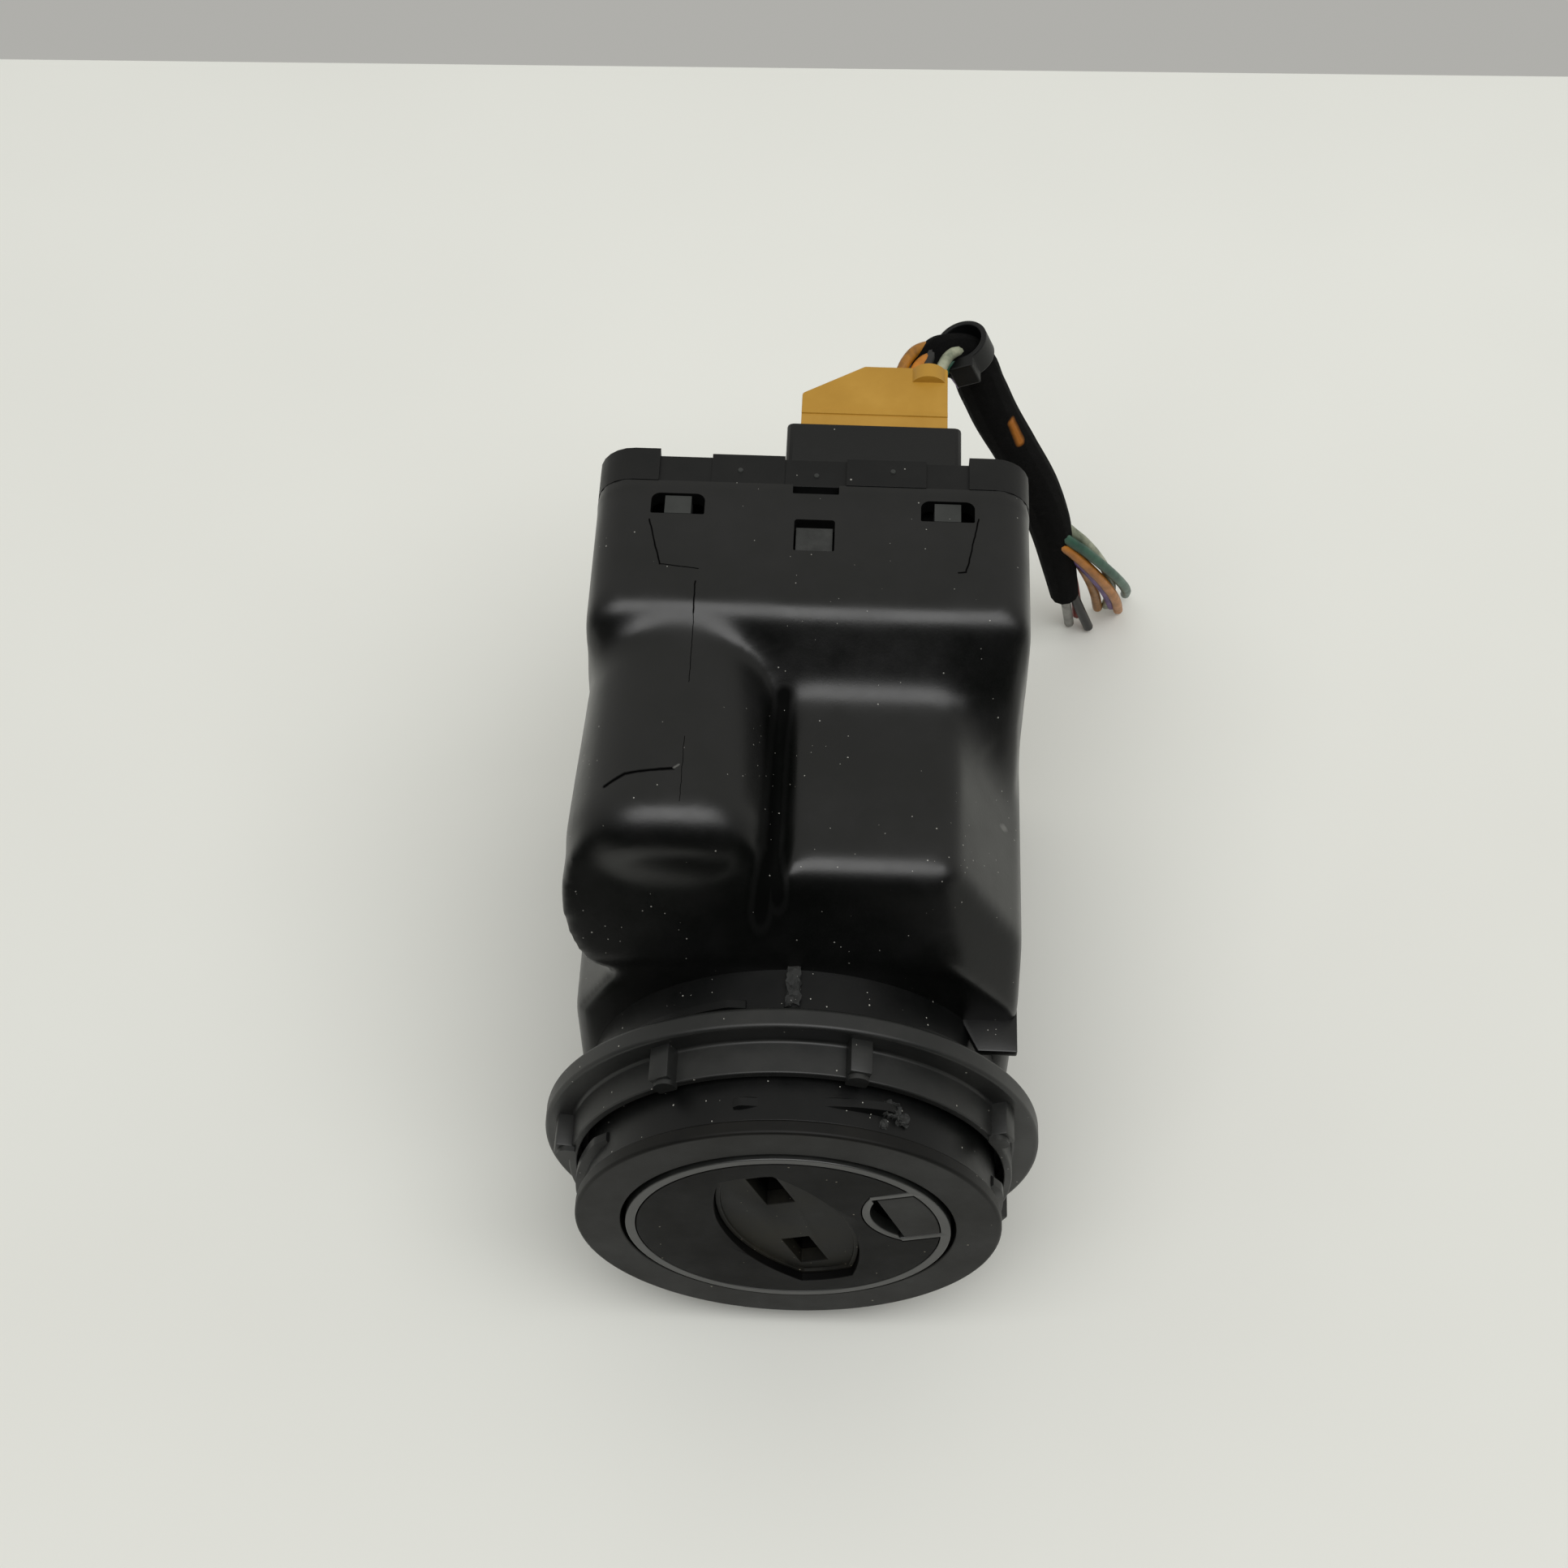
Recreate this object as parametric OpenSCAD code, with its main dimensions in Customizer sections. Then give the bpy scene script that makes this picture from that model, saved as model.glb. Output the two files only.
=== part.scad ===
// Dash mounted ignition switch: a key is pushed into the turning face at the front of a threaded barrel.
// The barrel axis is Y, the face looks towards -Y, and +Z is up. Millimetres.

/* [Face] */
// Width of the flat front bezel
bezel_w = 5.45; // [5:0.05:6]
// Thickness of the bezel's flat ring
bezel_t = 1.8; // [1.4:0.1:2.2]
// Diameter of the turning face over its light ring
rotor_d = 38.9; // [38.4:0.1:39.4]
// Dark gap between the turning face and the bezel
running_gap = 0.6; // [0.4:0.05:0.8]
// How far the turning face stands in front of the bezel
face_proud = 0.3; // [0:0.05:0.6]
// Thickness of the face disc
disc_t = 3.3; // [3:0.1:3.8]
// Width of the light ring
light_ring_w = 1.2; // [0.9:0.1:1.4]
// Depth of the shallow dish in the face disc
dish_depth = 0.5; // [0.2:0.1:0.8]
// Lean of the key hole at rest, from upright towards the left
rotor_tilt = 20; // [0:1:40]

/* [Key hole] */
// Length of the lens-shaped recess between its round ends
lens_l = 29.8; // [28:0.2:30.4]
// Width of the lens-shaped recess
lens_w = 15.2; // [14.4:0.2:16]
// Radius of the recess's two long sides
lens_side_r = 26.6; // [24:0.2:30]
// Depth of the key guide below the face
lens_step = 1.3; // [0.9:0.1:1.6]
// Width of the fine rim round the key guide
guide_rim_w = 0.6; // [0.4:0.1:1]
// Height of the fine rim round the key guide
guide_rim_h = 0.35; // [0.2:0.05:0.5]
// Width of each blade window
window_w = 3.5; // [3:0.05:3.8]
// Length of each blade window
window_l = 7.3; // [6.5:0.1:8]
// Distance from the axis to the middle of each blade window
window_reach = 8.5; // [7.8:0.05:9]
// Side step of each blade window from the recess's long axis
window_offset = 0.85; // [0:0.05:1.2]
// Depth of the keyways in the core
keyway_depth = 27; // [20:0.5:28]

/* [Release flap] */
// Width of the flap
flap_w = 10.6; // [9:0.2:11]
// Length of the flap, from its straight edge to its round edge
flap_l = 5.2; // [4.8:0.1:5.6]
// Thickness of the flap
flap_t = 1.5; // [1.2:0.1:1.7]
// Width of the light guide's branch round the flap
branch_w = 0.95; // [0.7:0.05:1.1]
// How far the round nail notch reaches past the flap's edge
notch_reach = 2.2; // [1.8:0.1:2.4]
// Diameter of the release button
button_d = 3.6; // [3:0.1:3.8]
// Length of the release button
button_l = 9.5; // [8:0.1:11]
// Travel of the release button
button_travel = 2.5; // [2:0.1:3]

/* [Barrel] */
// How far the bezel stands out past the barrel
bezel_lip = 0.8; // [0.5:0.05:1]
// Wall of the barrel
barrel_wall = 1.8; // [1.5:0.1:2]
// Distance from the bezel's face to the housing's front shoulder
shoulder_y = 21.3; // [20.6:0.1:22]
// Height of the coarse thread
thread_h = 1; // [0.7:0.05:1.1]
// Lean of the thread's ridges
thread_lean = 2.4; // [1:0.1:3]
// Step from the core's head down to the core
core_step = 1.55; // [1.2:0.05:2]
// Distance from the bezel's face to the back of the core
core_back = 35; // [34:0.1:36]

/* [Lock ring] */
// Width of the lock ring's flange
ring_flange_w = 4.24; // [3.6:0.02:5]
// Thickness of the flange
ring_flange_t = 2.6; // [2:0.1:3]
// Distance from the bezel's face to the front of the flange
ring_front_y = 11; // [10:0.1:11.4]
// Length of the skirt in front of the flange
ring_skirt_l = 4.1; // [3:0.1:5]
// Wall of the skirt
ring_wall = 1; // [0.8:0.05:1.3]
// Number of square lugs
lug_count = 7; // [5:1:7]
// Angle from one lug to the next
lug_pitch = 48; // [44:1:51]
// Width of each lug
lug_w = 2.6; // [2:0.1:3.2]
// Height of each lug above the skirt
lug_h = 1.9; // [1.2:0.1:2.4]
// Length of each lug in front of the skirt's edge
lug_nose = 0.6; // [0.2:0.1:1]
// Angle of the first lug from the top, towards the right
lug_start = 16; // [0:1:30]

/* [Housing] */
// Width of the housing
body_w = 53; // [52:0.2:54]
// Height of the rear box above the barrel axis
box_h = 46; // [45.4:0.1:47]
// Height of the raised deck above the barrel axis
deck_h = 38; // [37.4:0.1:39]
// Height of the valley between the bulge and the deck
valley_h = 34; // [33.4:0.1:35]
// Distance from the bezel's face to the seam with the rear cover
seam_y = 77; // [76:0.2:79]
// Distance from the bezel's face to the box's upper front edge
box_front_y = 57.5; // [56:0.1:58]
// Lean of the box's front wall, from upright
box_lean = 12; // [8:1:20]
// Lean of the ramp from the deck up to the box, from upright
ramp_lean = 39; // [34:1:44]
// Distance from the bezel's face to the deck's front edge
deck_front_y = 27; // [26:0.1:28]
// Left edge of the deck
deck_left = -1.5; // [-2:0.1:-1]
// Right edge of the deck
deck_right = 17.4; // [16.8:0.1:18]
// Height where the right slope meets the side
hip_h = 24; // [22.5:0.1:25]
// Height where the left side starts to lean in
ledge_h = 13; // [11:0.1:14]
// How far the left side leans in below the bulge
ledge_in = 5.5; // [4:0.1:6]
// How far the bulge's crest lies below the box's top
bulge_drop = 1.5; // [1:0.1:2.4]
// Diameter of the half-round bulge at its middle
bulge_d = 23.2; // [22.8:0.1:23.6]
// How much the bulge's radius grows from its middle to its front
bulge_flare = 0.5; // [0:0.1:0.8]
// Distance from the bezel's face to the front of the bulge
bulge_front_y = 26.5; // [25.5:0.1:27.5]
// Radius of the soft outer edges
edge_r = 4.5; // [3:0.1:5]
// Wall of the housing
wall = 2; // [1.7:0.05:2.2]
// Width of the locating tab
tab_w = 6.7; // [5:0.1:8]
// How far the tab's inner side slants
tab_slant = 2; // [1:0.1:3]
// How far the tab stands in front of the shoulder
tab_l = 4.1; // [3:0.1:5]
// Height of the tab's top above the axis
tab_top = 14.4; // [13:0.1:16]
// Thickness of the tab
tab_t = 1.2; // [0.9:0.1:2]

/* [Rear cover] */
// Thickness of the cover plate
cover_t = 4.2; // [3.6:0.1:4.6]
// How far the corner blocks stand behind the plate
corner_l = 0.8; // [0.4:0.1:1.2]
// Width of each corner block
corner_w = 7.6; // [6.6:0.1:8.4]
// How far the strip between the corner blocks lies below them
strip_drop = 0.5; // [0.2:0.05:0.8]
// Width of the raised plate on the strip
label_w = 9.7; // [8:0.1:11]
// Width of the raised land left of the socket
land_w = 8.9; // [8:0.1:10]
// Width of each snap hook
hook_w = 3.2; // [2.8:0.1:3.6]
// Distance from the middle to each snap hook
hook_x = 16.3; // [15.5:0.1:17]
// Width of the plug socket
socket_w = 21.6; // [20.6:0.1:22.4]
// Height of the plug socket
socket_h = 16.5; // [15.5:0.1:17]
// Middle of the plug socket, to the right of the axis
socket_x = 7.2; // [6.8:0.1:7.6]
// Length of the socket behind the cover plate
socket_l = 6.3; // [5:0.1:8]
// Wall of the socket
socket_wall = 1.5; // [1.2:0.05:1.7]
// How far the socket's top lies below the box's top
socket_drop = 0.8; // [0.6:0.1:1.6]

/* [Plug] */
// Length of the plug behind the socket
plug_l = 11.5; // [10:0.1:13]
// Length of the plug's slanted corner
plug_slant = 7.8; // [6:0.1:9]
// Number of contacts in each of the two rows
pin_columns = 6; // [4:1:6]
// Pitch of the contacts
pin_pitch = 2.54; // [2.2:0.02:2.7]
// Width of each contact pin
pin_w = 0.64; // [0.5:0.02:0.8]

/* [Inside] */
// Diameter of the key-lock magnet
can_d = 18.6; // [18:0.1:18.8]
// Length of the key-lock magnet
can_l = 18.5; // [16:0.1:19]
// Travel of the magnet's plunger
plunger_travel = 2.2; // [1.8:0.1:2.4]
// Diameter of the plunger
plunger_d = 5.2; // [4.6:0.1:5.6]
// Diameter of the driver's shaft
shaft_d = 10; // [9:0.1:11]
// Diameter of the lock plate on the driver
plate_d = 37; // [36.4:0.1:38]
// Thickness of the lock plate
plate_t = 3; // [2.6:0.1:3.2]
// Turn of the key from off to start
key_turn = 90; // [60:1:95]
// Length of the driver from the core to the contact carrier
driver_l = 20; // [18:0.5:22]
// Diameter of the contact carrier
carrier_d = 26; // [24:0.1:28]
// Thickness of the contact carrier
carrier_t = 4; // [3:0.1:5]
// Width of the square contact base
contact_base_w = 34; // [32:0.5:36]
// Thickness of the contact base
contact_base_t = 2.6; // [2:0.1:3]
// Thickness of the circuit board
board_t = 1.6; // [1:0.1:2]
// Width of the control chip
chip_w = 12; // [8:0.5:14]
// Thickness of the control chip
chip_t = 2.15; // [1.5:0.05:2.5]
// Diameter of the wires
wire_d = 1.5; // [1.2:0.1:1.6]
// Diameter of the taped sleeve round the wires
sleeve_d = 6.2; // [5.6:0.1:7]

/* [Clearances] */
// Running clearance of a shaft in its hole, on the radius
run_fit = 0.06; // [0.03:0.01:0.09]
// Gap between pieces that are pushed together
seat_gap = 0.05; // [0.02:0.01:0.1]
// Gap round inserts in the face
insert_gap = 0.12; // [0.08:0.01:0.2]
// Gap between moving pieces
move_gap = 0.3; // [0.2:0.05:0.4]

/* [Hidden] */
$fn = 96;
eps = 0.5;
far = 200;

black_plastic = "#262726";
satin_plastic = "#2d2e2d";
pale_guide = "#8f918d";
steel = "#a9abad";
copper = "#b8733a";
amber_plastic = "#c88a2b";
board_green = "#2c5a3a";
core_brown = "#4a4038";

// Radii and stations of the turning face
rotor_r = rotor_d / 2;
bezel_in_r = rotor_r + running_gap;
bezel_r = bezel_in_r + bezel_w;
disc_r = rotor_r - light_ring_w - insert_gap;
face_y = -face_proud;
head_y = disc_t - face_proud;
head_t = 2.5;
head_back = head_y + head_t;
guide_y = face_y + lens_step;
flap_start = disc_r - flap_l;

// Radii and stations of the barrel and the core's bearing
barrel_r = bezel_r - bezel_lip;
barrel_in_r = barrel_r - barrel_wall;
core_r = rotor_r - core_step;
bearing_r = core_r + run_fit;
bearing_wall = 1.6;
bearing_out_r = bearing_r + bearing_wall;
bearing_front = head_back + move_gap;
bearing_back = core_back - move_gap;
web_front = shoulder_y - 1;
spigot_r = barrel_in_r - seat_gap;
spigot_wall = 1.3;
spigot_l = 3.2;

// Ridges of the thread: middle angle, sweep, distance from the bezel's face
ridges = [[8, 46, 4.6], [-14, 60, 10.4], [-35, 44, 16.4]];

// Lock ring on the thread
thread_r = barrel_r + thread_h;
ring_in_r = thread_r + run_fit;
ring_skirt_r = ring_in_r + ring_wall;
ring_flange_r = ring_in_r + ring_flange_w;
ring_back_y = ring_front_y + ring_flange_t;
ring_skirt_y = ring_front_y - ring_skirt_l;

// The housing's underside is level with the lock ring, so the switch lies flat
base_z = -ring_flange_r;
half_w = body_w / 2;
waist_x = half_w - ledge_in;
bulge_r = bulge_d / 2;
bulge_x = -half_w + bulge_r;
bulge_z = box_h - bulge_drop - bulge_r;
bulge_bore_r = bulge_r - wall;
slope_end_z = 25.5;
deck_floor = deck_h - wall;
box_room_y = box_front_y + wall + eps;
// The box's leaning front wall, at a height
function box_wall_y(z) = box_front_y - (box_h - z) * tan(box_lean);
deck_back_y = box_front_y - (box_h - deck_h) * tan(ramp_lean);
deck_fillet = 6;
ramp_foot = 0.6 * deck_fillet;
waist_rise = 10.5;

// Front view of the lower body with the deck: x, z, corner radius
core_outline = [
    [-half_w, base_z, 3], [half_w, base_z, 3], [half_w, hip_h, edge_r],
    [deck_right, deck_h, edge_r], [deck_left, deck_h, 3], [deck_left - 1.5, valley_h, 1.2],
    [-waist_x, valley_h, 0], [-waist_x, ledge_h + waist_rise, 2], [-half_w, ledge_h, 4]
];
// Front view of the rear box: x, z, corner radius
box_outline = [
    [-half_w, base_z, 3], [half_w, base_z, 3], [half_w, box_h, edge_r], [-half_w, box_h, edge_r]
];
// Side view of the lower body with the deck: y, z, corner radius
side_outline = [
    [shoulder_y, base_z, 2.5], [seam_y, base_z, 0], [seam_y, deck_h, 0],
    [deck_front_y, deck_h, edge_r], [shoulder_y, slope_end_z, 6]
];
// Side view of the bulge's foot, under the plane of the front slope: y, z, corner radius
slope_rise = (deck_h - slope_end_z) / (deck_front_y - shoulder_y);
foot_outline = [
    [shoulder_y, 0, 0], [box_front_y, 0, 0],
    [box_front_y, slope_end_z + slope_rise * (box_front_y - shoulder_y), 0], [shoulder_y, slope_end_z, 6]
];
// Side view of the rear box: y, z, corner radius
box_side_outline = [
    [box_wall_y(0), base_z, 0], [seam_y, base_z, 0], [seam_y, box_h, 0], [box_front_y, box_h, edge_r],
    [box_wall_y(0), 0, 0]
];
// Side view of the ramp from the deck up to the box: y, z, corner radius
ramp_outline = [
    [deck_back_y - ramp_foot, deck_h - 2, 0], [seam_y - wall, deck_h - 2, 0],
    [seam_y - wall, box_h, 0], [box_front_y, box_h, edge_r],
    [deck_back_y, deck_h, deck_fillet], [deck_back_y - ramp_foot, deck_h, 0]
];

// Contacts, board and magnet behind the core
plate_back = core_back + plate_t;
drum_r = shaft_d / 2 + 2;
carrier_y = core_back + driver_l;
carrier_back = carrier_y + carrier_t;
wiper_room = 3.6;
base_y = carrier_back + wiper_room;
board_y = base_y + contact_base_t + 0.4;
board_back = board_y + board_t;
pilot_r = 3;
track_t = 0.4;
tooth_r = 13.9;
tooth_w = 3;
arm_t = 2;
arm_y = plate_back + plunger_travel + move_gap;
can_y = arm_y + arm_t + 0.9;
can_back = can_y + can_l;
can_r = can_d / 2;
can_wall = 0.8;
plunger_r = plunger_d / 2;
plunger_back = can_y + 2 * can_l / 3;
arm_lean = atan2(bulge_x, bulge_z);
arm_reach = norm([bulge_x, bulge_z]);

// Rear cover, socket and plug
cover_y = seam_y + seat_gap;
cover_back = cover_y + cover_t;
socket_back = cover_back + socket_l;
socket_left = socket_x - socket_w / 2;
socket_top = box_h - socket_drop;
socket_low = socket_top - socket_h;
socket_z = (socket_top + socket_low) / 2;
plug_gap = 0.15;
plug_half_w = socket_w / 2 - socket_wall - plug_gap;
plug_top = socket_top - socket_wall - plug_gap;
plug_low = socket_low + socket_wall + plug_gap;
plug_front = cover_back + seat_gap;
plug_back = socket_back + plug_l;
pins_front = board_y - 1.5;
pins_back = socket_back - 1;
hook_t = 1.6;
window_room = 0.25;
hook_side_room = 1.65;
hook_y = seam_y - 5;
hook_l = 2.7;
latch_w = 4.4;
latch_x = 0.3;
notch_w = 5.6;
latch_y = board_back - 0.3;
latch_l = 3.8;

// Middle line of the wires from the plug to the strap, then of the taped sleeve, from the plug's back
exit_route = [
    [12.6, 0, 39.4], [13, 3.5, 41], [14.8, 6.4, 41.4], [17.2, 7.2, 40.2], [19.2, 7.4, 37.6], [20.8, 7.5, 34.2]
];
sleeve_route = [
    [19.2, 7.4, 37.6], [21.6, 7.8, 32], [23.8, 8.5, 26], [27.2, 9.6, 18], [30.6, 10.6, 9.5], [33.3, 11.2, 1],
    [35.2, 11.6, -7], [37.2, 12.4, -16.5]
];
// Cut ends of the wires, on and just above the table, from the plug's back
wire_ends = [
    [39.2, 16.5, -29], [40.4, 17.6, -28.2], [42.1, 15.6, -28.8], [43.6, 19.2, -28.4],
    [45.7, 19.6, -28.2], [46.8, 19.2, -28.8], [47.9, 21.6, -27.8], [44.9, 19.8, -28.4]
];
// Point of the sleeve where each wire leaves it
wire_leave = [6, 6, 6, 5, 5, 5, 5, 5];
// How far each wire bows out to the right and down before its cut end
wire_bows = [0, 0.5, 1, 7.5, 9.4, 9.9, 10.6, 8.6];
// How the wires close in from the plug's contacts to the round bundle
exit_gather = [0, 0.15, 0.6, 0.9, 1, 1];
bundle_r = 2;

// Solids along Y

module along_y(y0, y1) {
    translate([0, y1, 0]) rotate([90, 0, 0]) linear_extrude(y1 - y0) children();
}

module along_x(x0, x1) {
    translate([x0, 0, 0]) rotate([90, 0, 90]) linear_extrude(x1 - x0) children();
}

module rod_y(r, y0, y1) {
    translate([0, y0, 0]) rotate([-90, 0, 0]) cylinder(r = r, h = y1 - y0);
}

module tube_y(r_out, r_in, y0, y1) {
    difference() {
        rod_y(r_out, y0, y1);
        rod_y(r_in, y0 - eps, y1 + eps);
    }
}

module block(low, high) {
    translate(low) cube(high - low);
}

// Everything that turns with the key is drawn upright and leans as one
module on_rotor() {
    rotate([0, -rotor_tilt, 0]) children();
}

// A ring sector round the Y axis, its middle at an angle from the top towards the right
module sector_y(middle, sweep) {
    rotate([0, middle, 0]) rotate([-90, 0, 0]) rotate([0, 0, -90 - sweep / 2])
        rotate_extrude(angle = sweep) children();
}

// Outlines with round corners

function unit(v) = v / norm(v);
function flat(p) = [p[0], p[1]];
function corner_turn(u, v) = u[0] * v[1] - u[1] * v[0] > 0 ? -1 : 1;
function corner_points(before, at, after, steps) =
    let (u = unit(flat(before) - flat(at)), v = unit(flat(after) - flat(at)))
    let (half = acos(u * v) / 2)
    let (middle = flat(at) + unit(u + v) * at[2] / sin(half))
    let (start = flat(at) + u * at[2] / tan(half) - middle)
    let (first = atan2(start[1], start[0]), sweep = (180 - 2 * half) * corner_turn(u, v))
    [for (i = [0 : steps]) middle + at[2] * [cos(first + sweep * i / steps), sin(first + sweep * i / steps)]];
function rounded(points, steps = 6) =
    let (n = len(points))
    [for (i = [0 : n - 1])
        each points[i][2] == 0
            ? [flat(points[i])]
            : corner_points(points[(i + n - 1) % n], points[i], points[(i + 1) % n], steps)];

// Round wires swept along a list of points

function along(points, i) =
    unit(points[min(i + 1, len(points) - 1)] - points[max(i - 1, 0)]);
function ring_at(points, i, r, sides, side_ref) =
    let (t = along(points, i), a = unit(cross(t, side_ref)), b = cross(t, a))
    [for (k = [0 : sides - 1]) points[i] + r * (cos(360 * k / sides) * a + sin(360 * k / sides) * b)];

module swept(points, r, sides, side_ref) {
    rings = len(points);
    vertices = [for (i = [0 : rings - 1]) each ring_at(points, i, r, sides, side_ref)];
    walls = [
        for (i = [0 : rings - 2], k = [0 : sides - 1])
        let (a = i * sides + k, b = i * sides + (k + 1) % sides)
        [a, a + sides, b + sides, b]
    ];
    front_cap = [for (k = [0 : sides - 1]) k];
    back_cap = [for (k = [sides - 1 : -1 : 0]) (rings - 1) * sides + k];
    polyhedron(points = vertices, faces = concat([front_cap, back_cap], walls), convexity = 6);
}

function coil_points(r, y0, y1, turns, steps) =
    [for (i = [0 : turns * steps])
        [r * cos(360 * i / steps), y0 + (y1 - y0) * i / (turns * steps), r * sin(360 * i / steps)]];

// A coil spring round the Y axis, between two planes
module coil_spring(r, wire_r, y0, y1, turns, steps = 14) {
    swept(coil_points(r, y0 + wire_r, y1 - wire_r, turns, steps), wire_r, 8, [0, 1, 0]);
}

// Housing

module thread_ridge(middle, sweep, y) {
    rotate([0, middle, 0]) translate([0, y, 0]) rotate([0, 0, thread_lean]) sector_y(0, sweep)
        polygon([[barrel_r - 1, -1.1], [thread_r, -0.5], [thread_r, 0.5], [barrel_r - 1, 1.1]]);
}

module barrel_outside() {
    rod_y(barrel_r, bezel_t + seat_gap, shoulder_y + wall);
    for (turn = [0 : 90 : 270], ridge = ridges) {
        thread_ridge(ridge[0] + turn, ridge[1], ridge[2]);
    }
    block([-1.1, ring_back_y + 2.6, barrel_r - 1], [0.7, shoulder_y + 1, thread_r - 0.05]);
}

module bulge_outside() {
    back = box_front_y + edge_r;
    translate([bulge_x, 0, bulge_z]) rotate([-90, 0, 0]) rotate_extrude()
        polygon(rounded([
            [0, bulge_front_y, 0], [bulge_r + bulge_flare, bulge_front_y, edge_r + 1],
            [bulge_r - bulge_flare, back, 0], [0, back, 0]
        ]));
}

// The bulge's foot runs on in front of it, down the slope to the shoulder
module bulge_foot() {
    intersection() {
        translate([bulge_x, 0, bulge_z]) rod_y(bulge_r - bulge_flare, shoulder_y, box_front_y);
        along_x(-body_w, 0) polygon(rounded(foot_outline));
    }
}

module tab() {
    left = half_w - tab_w;
    translate([0, 0, tab_top - tab_t]) linear_extrude(tab_t) polygon([
        [left, shoulder_y], [left + tab_slant, shoulder_y - tab_l], [half_w, shoulder_y - tab_l],
        [half_w, shoulder_y + wall], [left, shoulder_y + wall]
    ]);
}

module body_outside() {
    intersection() {
        along_y(shoulder_y, seam_y) polygon(rounded(core_outline));
        along_x(-body_w, body_w) polygon(rounded(side_outline));
    }
    intersection() {
        along_y(shoulder_y, seam_y) polygon(rounded(box_outline));
        along_x(-body_w, body_w) polygon(rounded(box_side_outline));
    }
    along_x(deck_left + edge_r / 4, deck_right - edge_r / 4) polygon(rounded(ramp_outline));
    bulge_outside();
    bulge_foot();
    tab();
}

module body_room() {
    low = base_z + wall;
    slope = unit([hip_h - deck_h, deck_right - half_w]) * wall;
    block([-half_w + wall, shoulder_y + wall, low], [half_w - wall, seam_y + eps, ledge_h - wall / 4]);
    block([-waist_x + wall, core_back - 4, 0], [deck_left + wall + eps, seam_y + eps, valley_h - wall]);
    block([deck_left + wall, deck_front_y + 2 * wall, 0], [deck_right - wall, seam_y + eps, deck_floor]);
    along_y(deck_front_y + 2 * wall, seam_y + eps)
        polygon([
            [deck_right - 2 * wall, 0], [half_w - wall, 0],
            [half_w - wall, hip_h + slope[1]], [deck_right + slope[0], deck_floor],
            [deck_right - 2 * wall, deck_floor]
        ]);
    block([-half_w + wall, box_room_y, low], [half_w - wall, seam_y + eps, box_h - wall]);
    translate([bulge_x, 0, bulge_z]) rod_y(bulge_bore_r, bulge_front_y + 2 * wall, seam_y + eps);
}

// Snap windows and the notch in the top wall of the box
module top_windows() {
    for (side = [-1, 1]) {
        block(
            [side * hook_x - hook_w / 2 - hook_side_room, hook_y - window_room, box_h - 2 * wall],
            [side * hook_x + hook_w / 2 + hook_side_room, hook_y + hook_l + window_room, box_h + eps]
        );
    }
    block(
        [latch_x - latch_w / 2 - window_room, latch_y - window_room, box_h - 2 * wall],
        [latch_x + latch_w / 2 + window_room, latch_y + latch_l + 3 * window_room, box_h + eps]
    );
    block(
        [latch_x - notch_w / 2, seam_y - 0.75 * wall, box_h - 2 * wall],
        [latch_x + notch_w / 2, seam_y + eps, box_h + eps]
    );
}

// Ledges that the circuit board lies on
module board_ledges() {
    ledge = 3;
    for (side = [-1, 1], top = [0, 1]) {
        z_low = top == 1 ? box_h - wall - ledge : base_z + wall - eps;
        block(
            [side * (half_w - wall + eps) - (side > 0 ? ledge : 0), box_room_y - eps, z_low],
            [side * (half_w - wall + eps) + (side > 0 ? 0 : ledge), board_y - seat_gap, z_low + ledge + eps]
        );
    }
}

module housing() {
    color(black_plastic) {
        difference() {
            union() {
                body_outside();
                barrel_outside();
            }
            body_room();
            rod_y(barrel_in_r, bezel_t - eps, web_front);
            rod_y(bearing_r, web_front - eps, core_back);
            top_windows();
        }
        tube_y(bearing_out_r, bearing_r, bearing_front, bearing_back);
        board_ledges();
    }
}

// Bezel and lock ring

module front_bezel() {
    color(satin_plastic) {
        tube_y(bezel_r, bezel_in_r, 0, bezel_t);
        tube_y(spigot_r, spigot_r - spigot_wall, bezel_t - eps, bezel_t + spigot_l);
    }
}

module lock_ring() {
    color(black_plastic) {
        tube_y(ring_flange_r, ring_in_r, ring_front_y, ring_back_y);
        tube_y(ring_skirt_r, ring_in_r, ring_skirt_y, ring_front_y + eps);
        difference() {
            for (i = [0 : lug_count - 1]) {
                rotate([0, lug_start + lug_pitch * (i - 2), 0])
                    block(
                        [-lug_w / 2, ring_skirt_y - lug_nose, ring_in_r],
                        [lug_w / 2, ring_front_y + eps, ring_skirt_r + lug_h]
                    );
            }
            rod_y(ring_in_r + 0.4, ring_skirt_y - far, ring_front_y);
        }
    }
}

// Turning face

module lens(gap) {
    side_step = lens_side_r - lens_w / 2;
    intersection() {
        circle(r = lens_l / 2 - gap);
        translate([-side_step, 0]) circle(r = lens_side_r - gap);
        translate([side_step, 0]) circle(r = lens_side_r - gap);
    }
}

// Plan of the release flap's surround, grown by a margin
module flap_field(grow) {
    half = flap_w / 2 + insert_gap + grow;
    notch_r = (pow(flap_w / 2, 2) + pow(notch_reach, 2)) / (2 * notch_reach);
    intersection() {
        union() {
            translate([flap_start - notch_reach + notch_r, 0]) circle(r = notch_r + grow);
            translate([flap_start - 0.6, -half]) square([rotor_r, 2 * half]);
        }
        translate([0, -half]) square([rotor_r, 2 * half]);
    }
}

module blade_windows(y0, y1) {
    for (turn = [0, 180]) {
        rotate([0, turn, 0]) translate([window_offset, 0, window_reach])
            block([-window_w / 2, y0, -window_l / 2], [window_w / 2, y1, window_l / 2]);
    }
}

pocket_floor = face_y + flap_t + 0.25;
button_x = flap_start + 2.6;
button_r = button_d / 2;
button_y = pocket_floor + seat_gap;
button_back = button_y + button_l;
button_bore_back = button_back + button_travel + 3.5;

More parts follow.
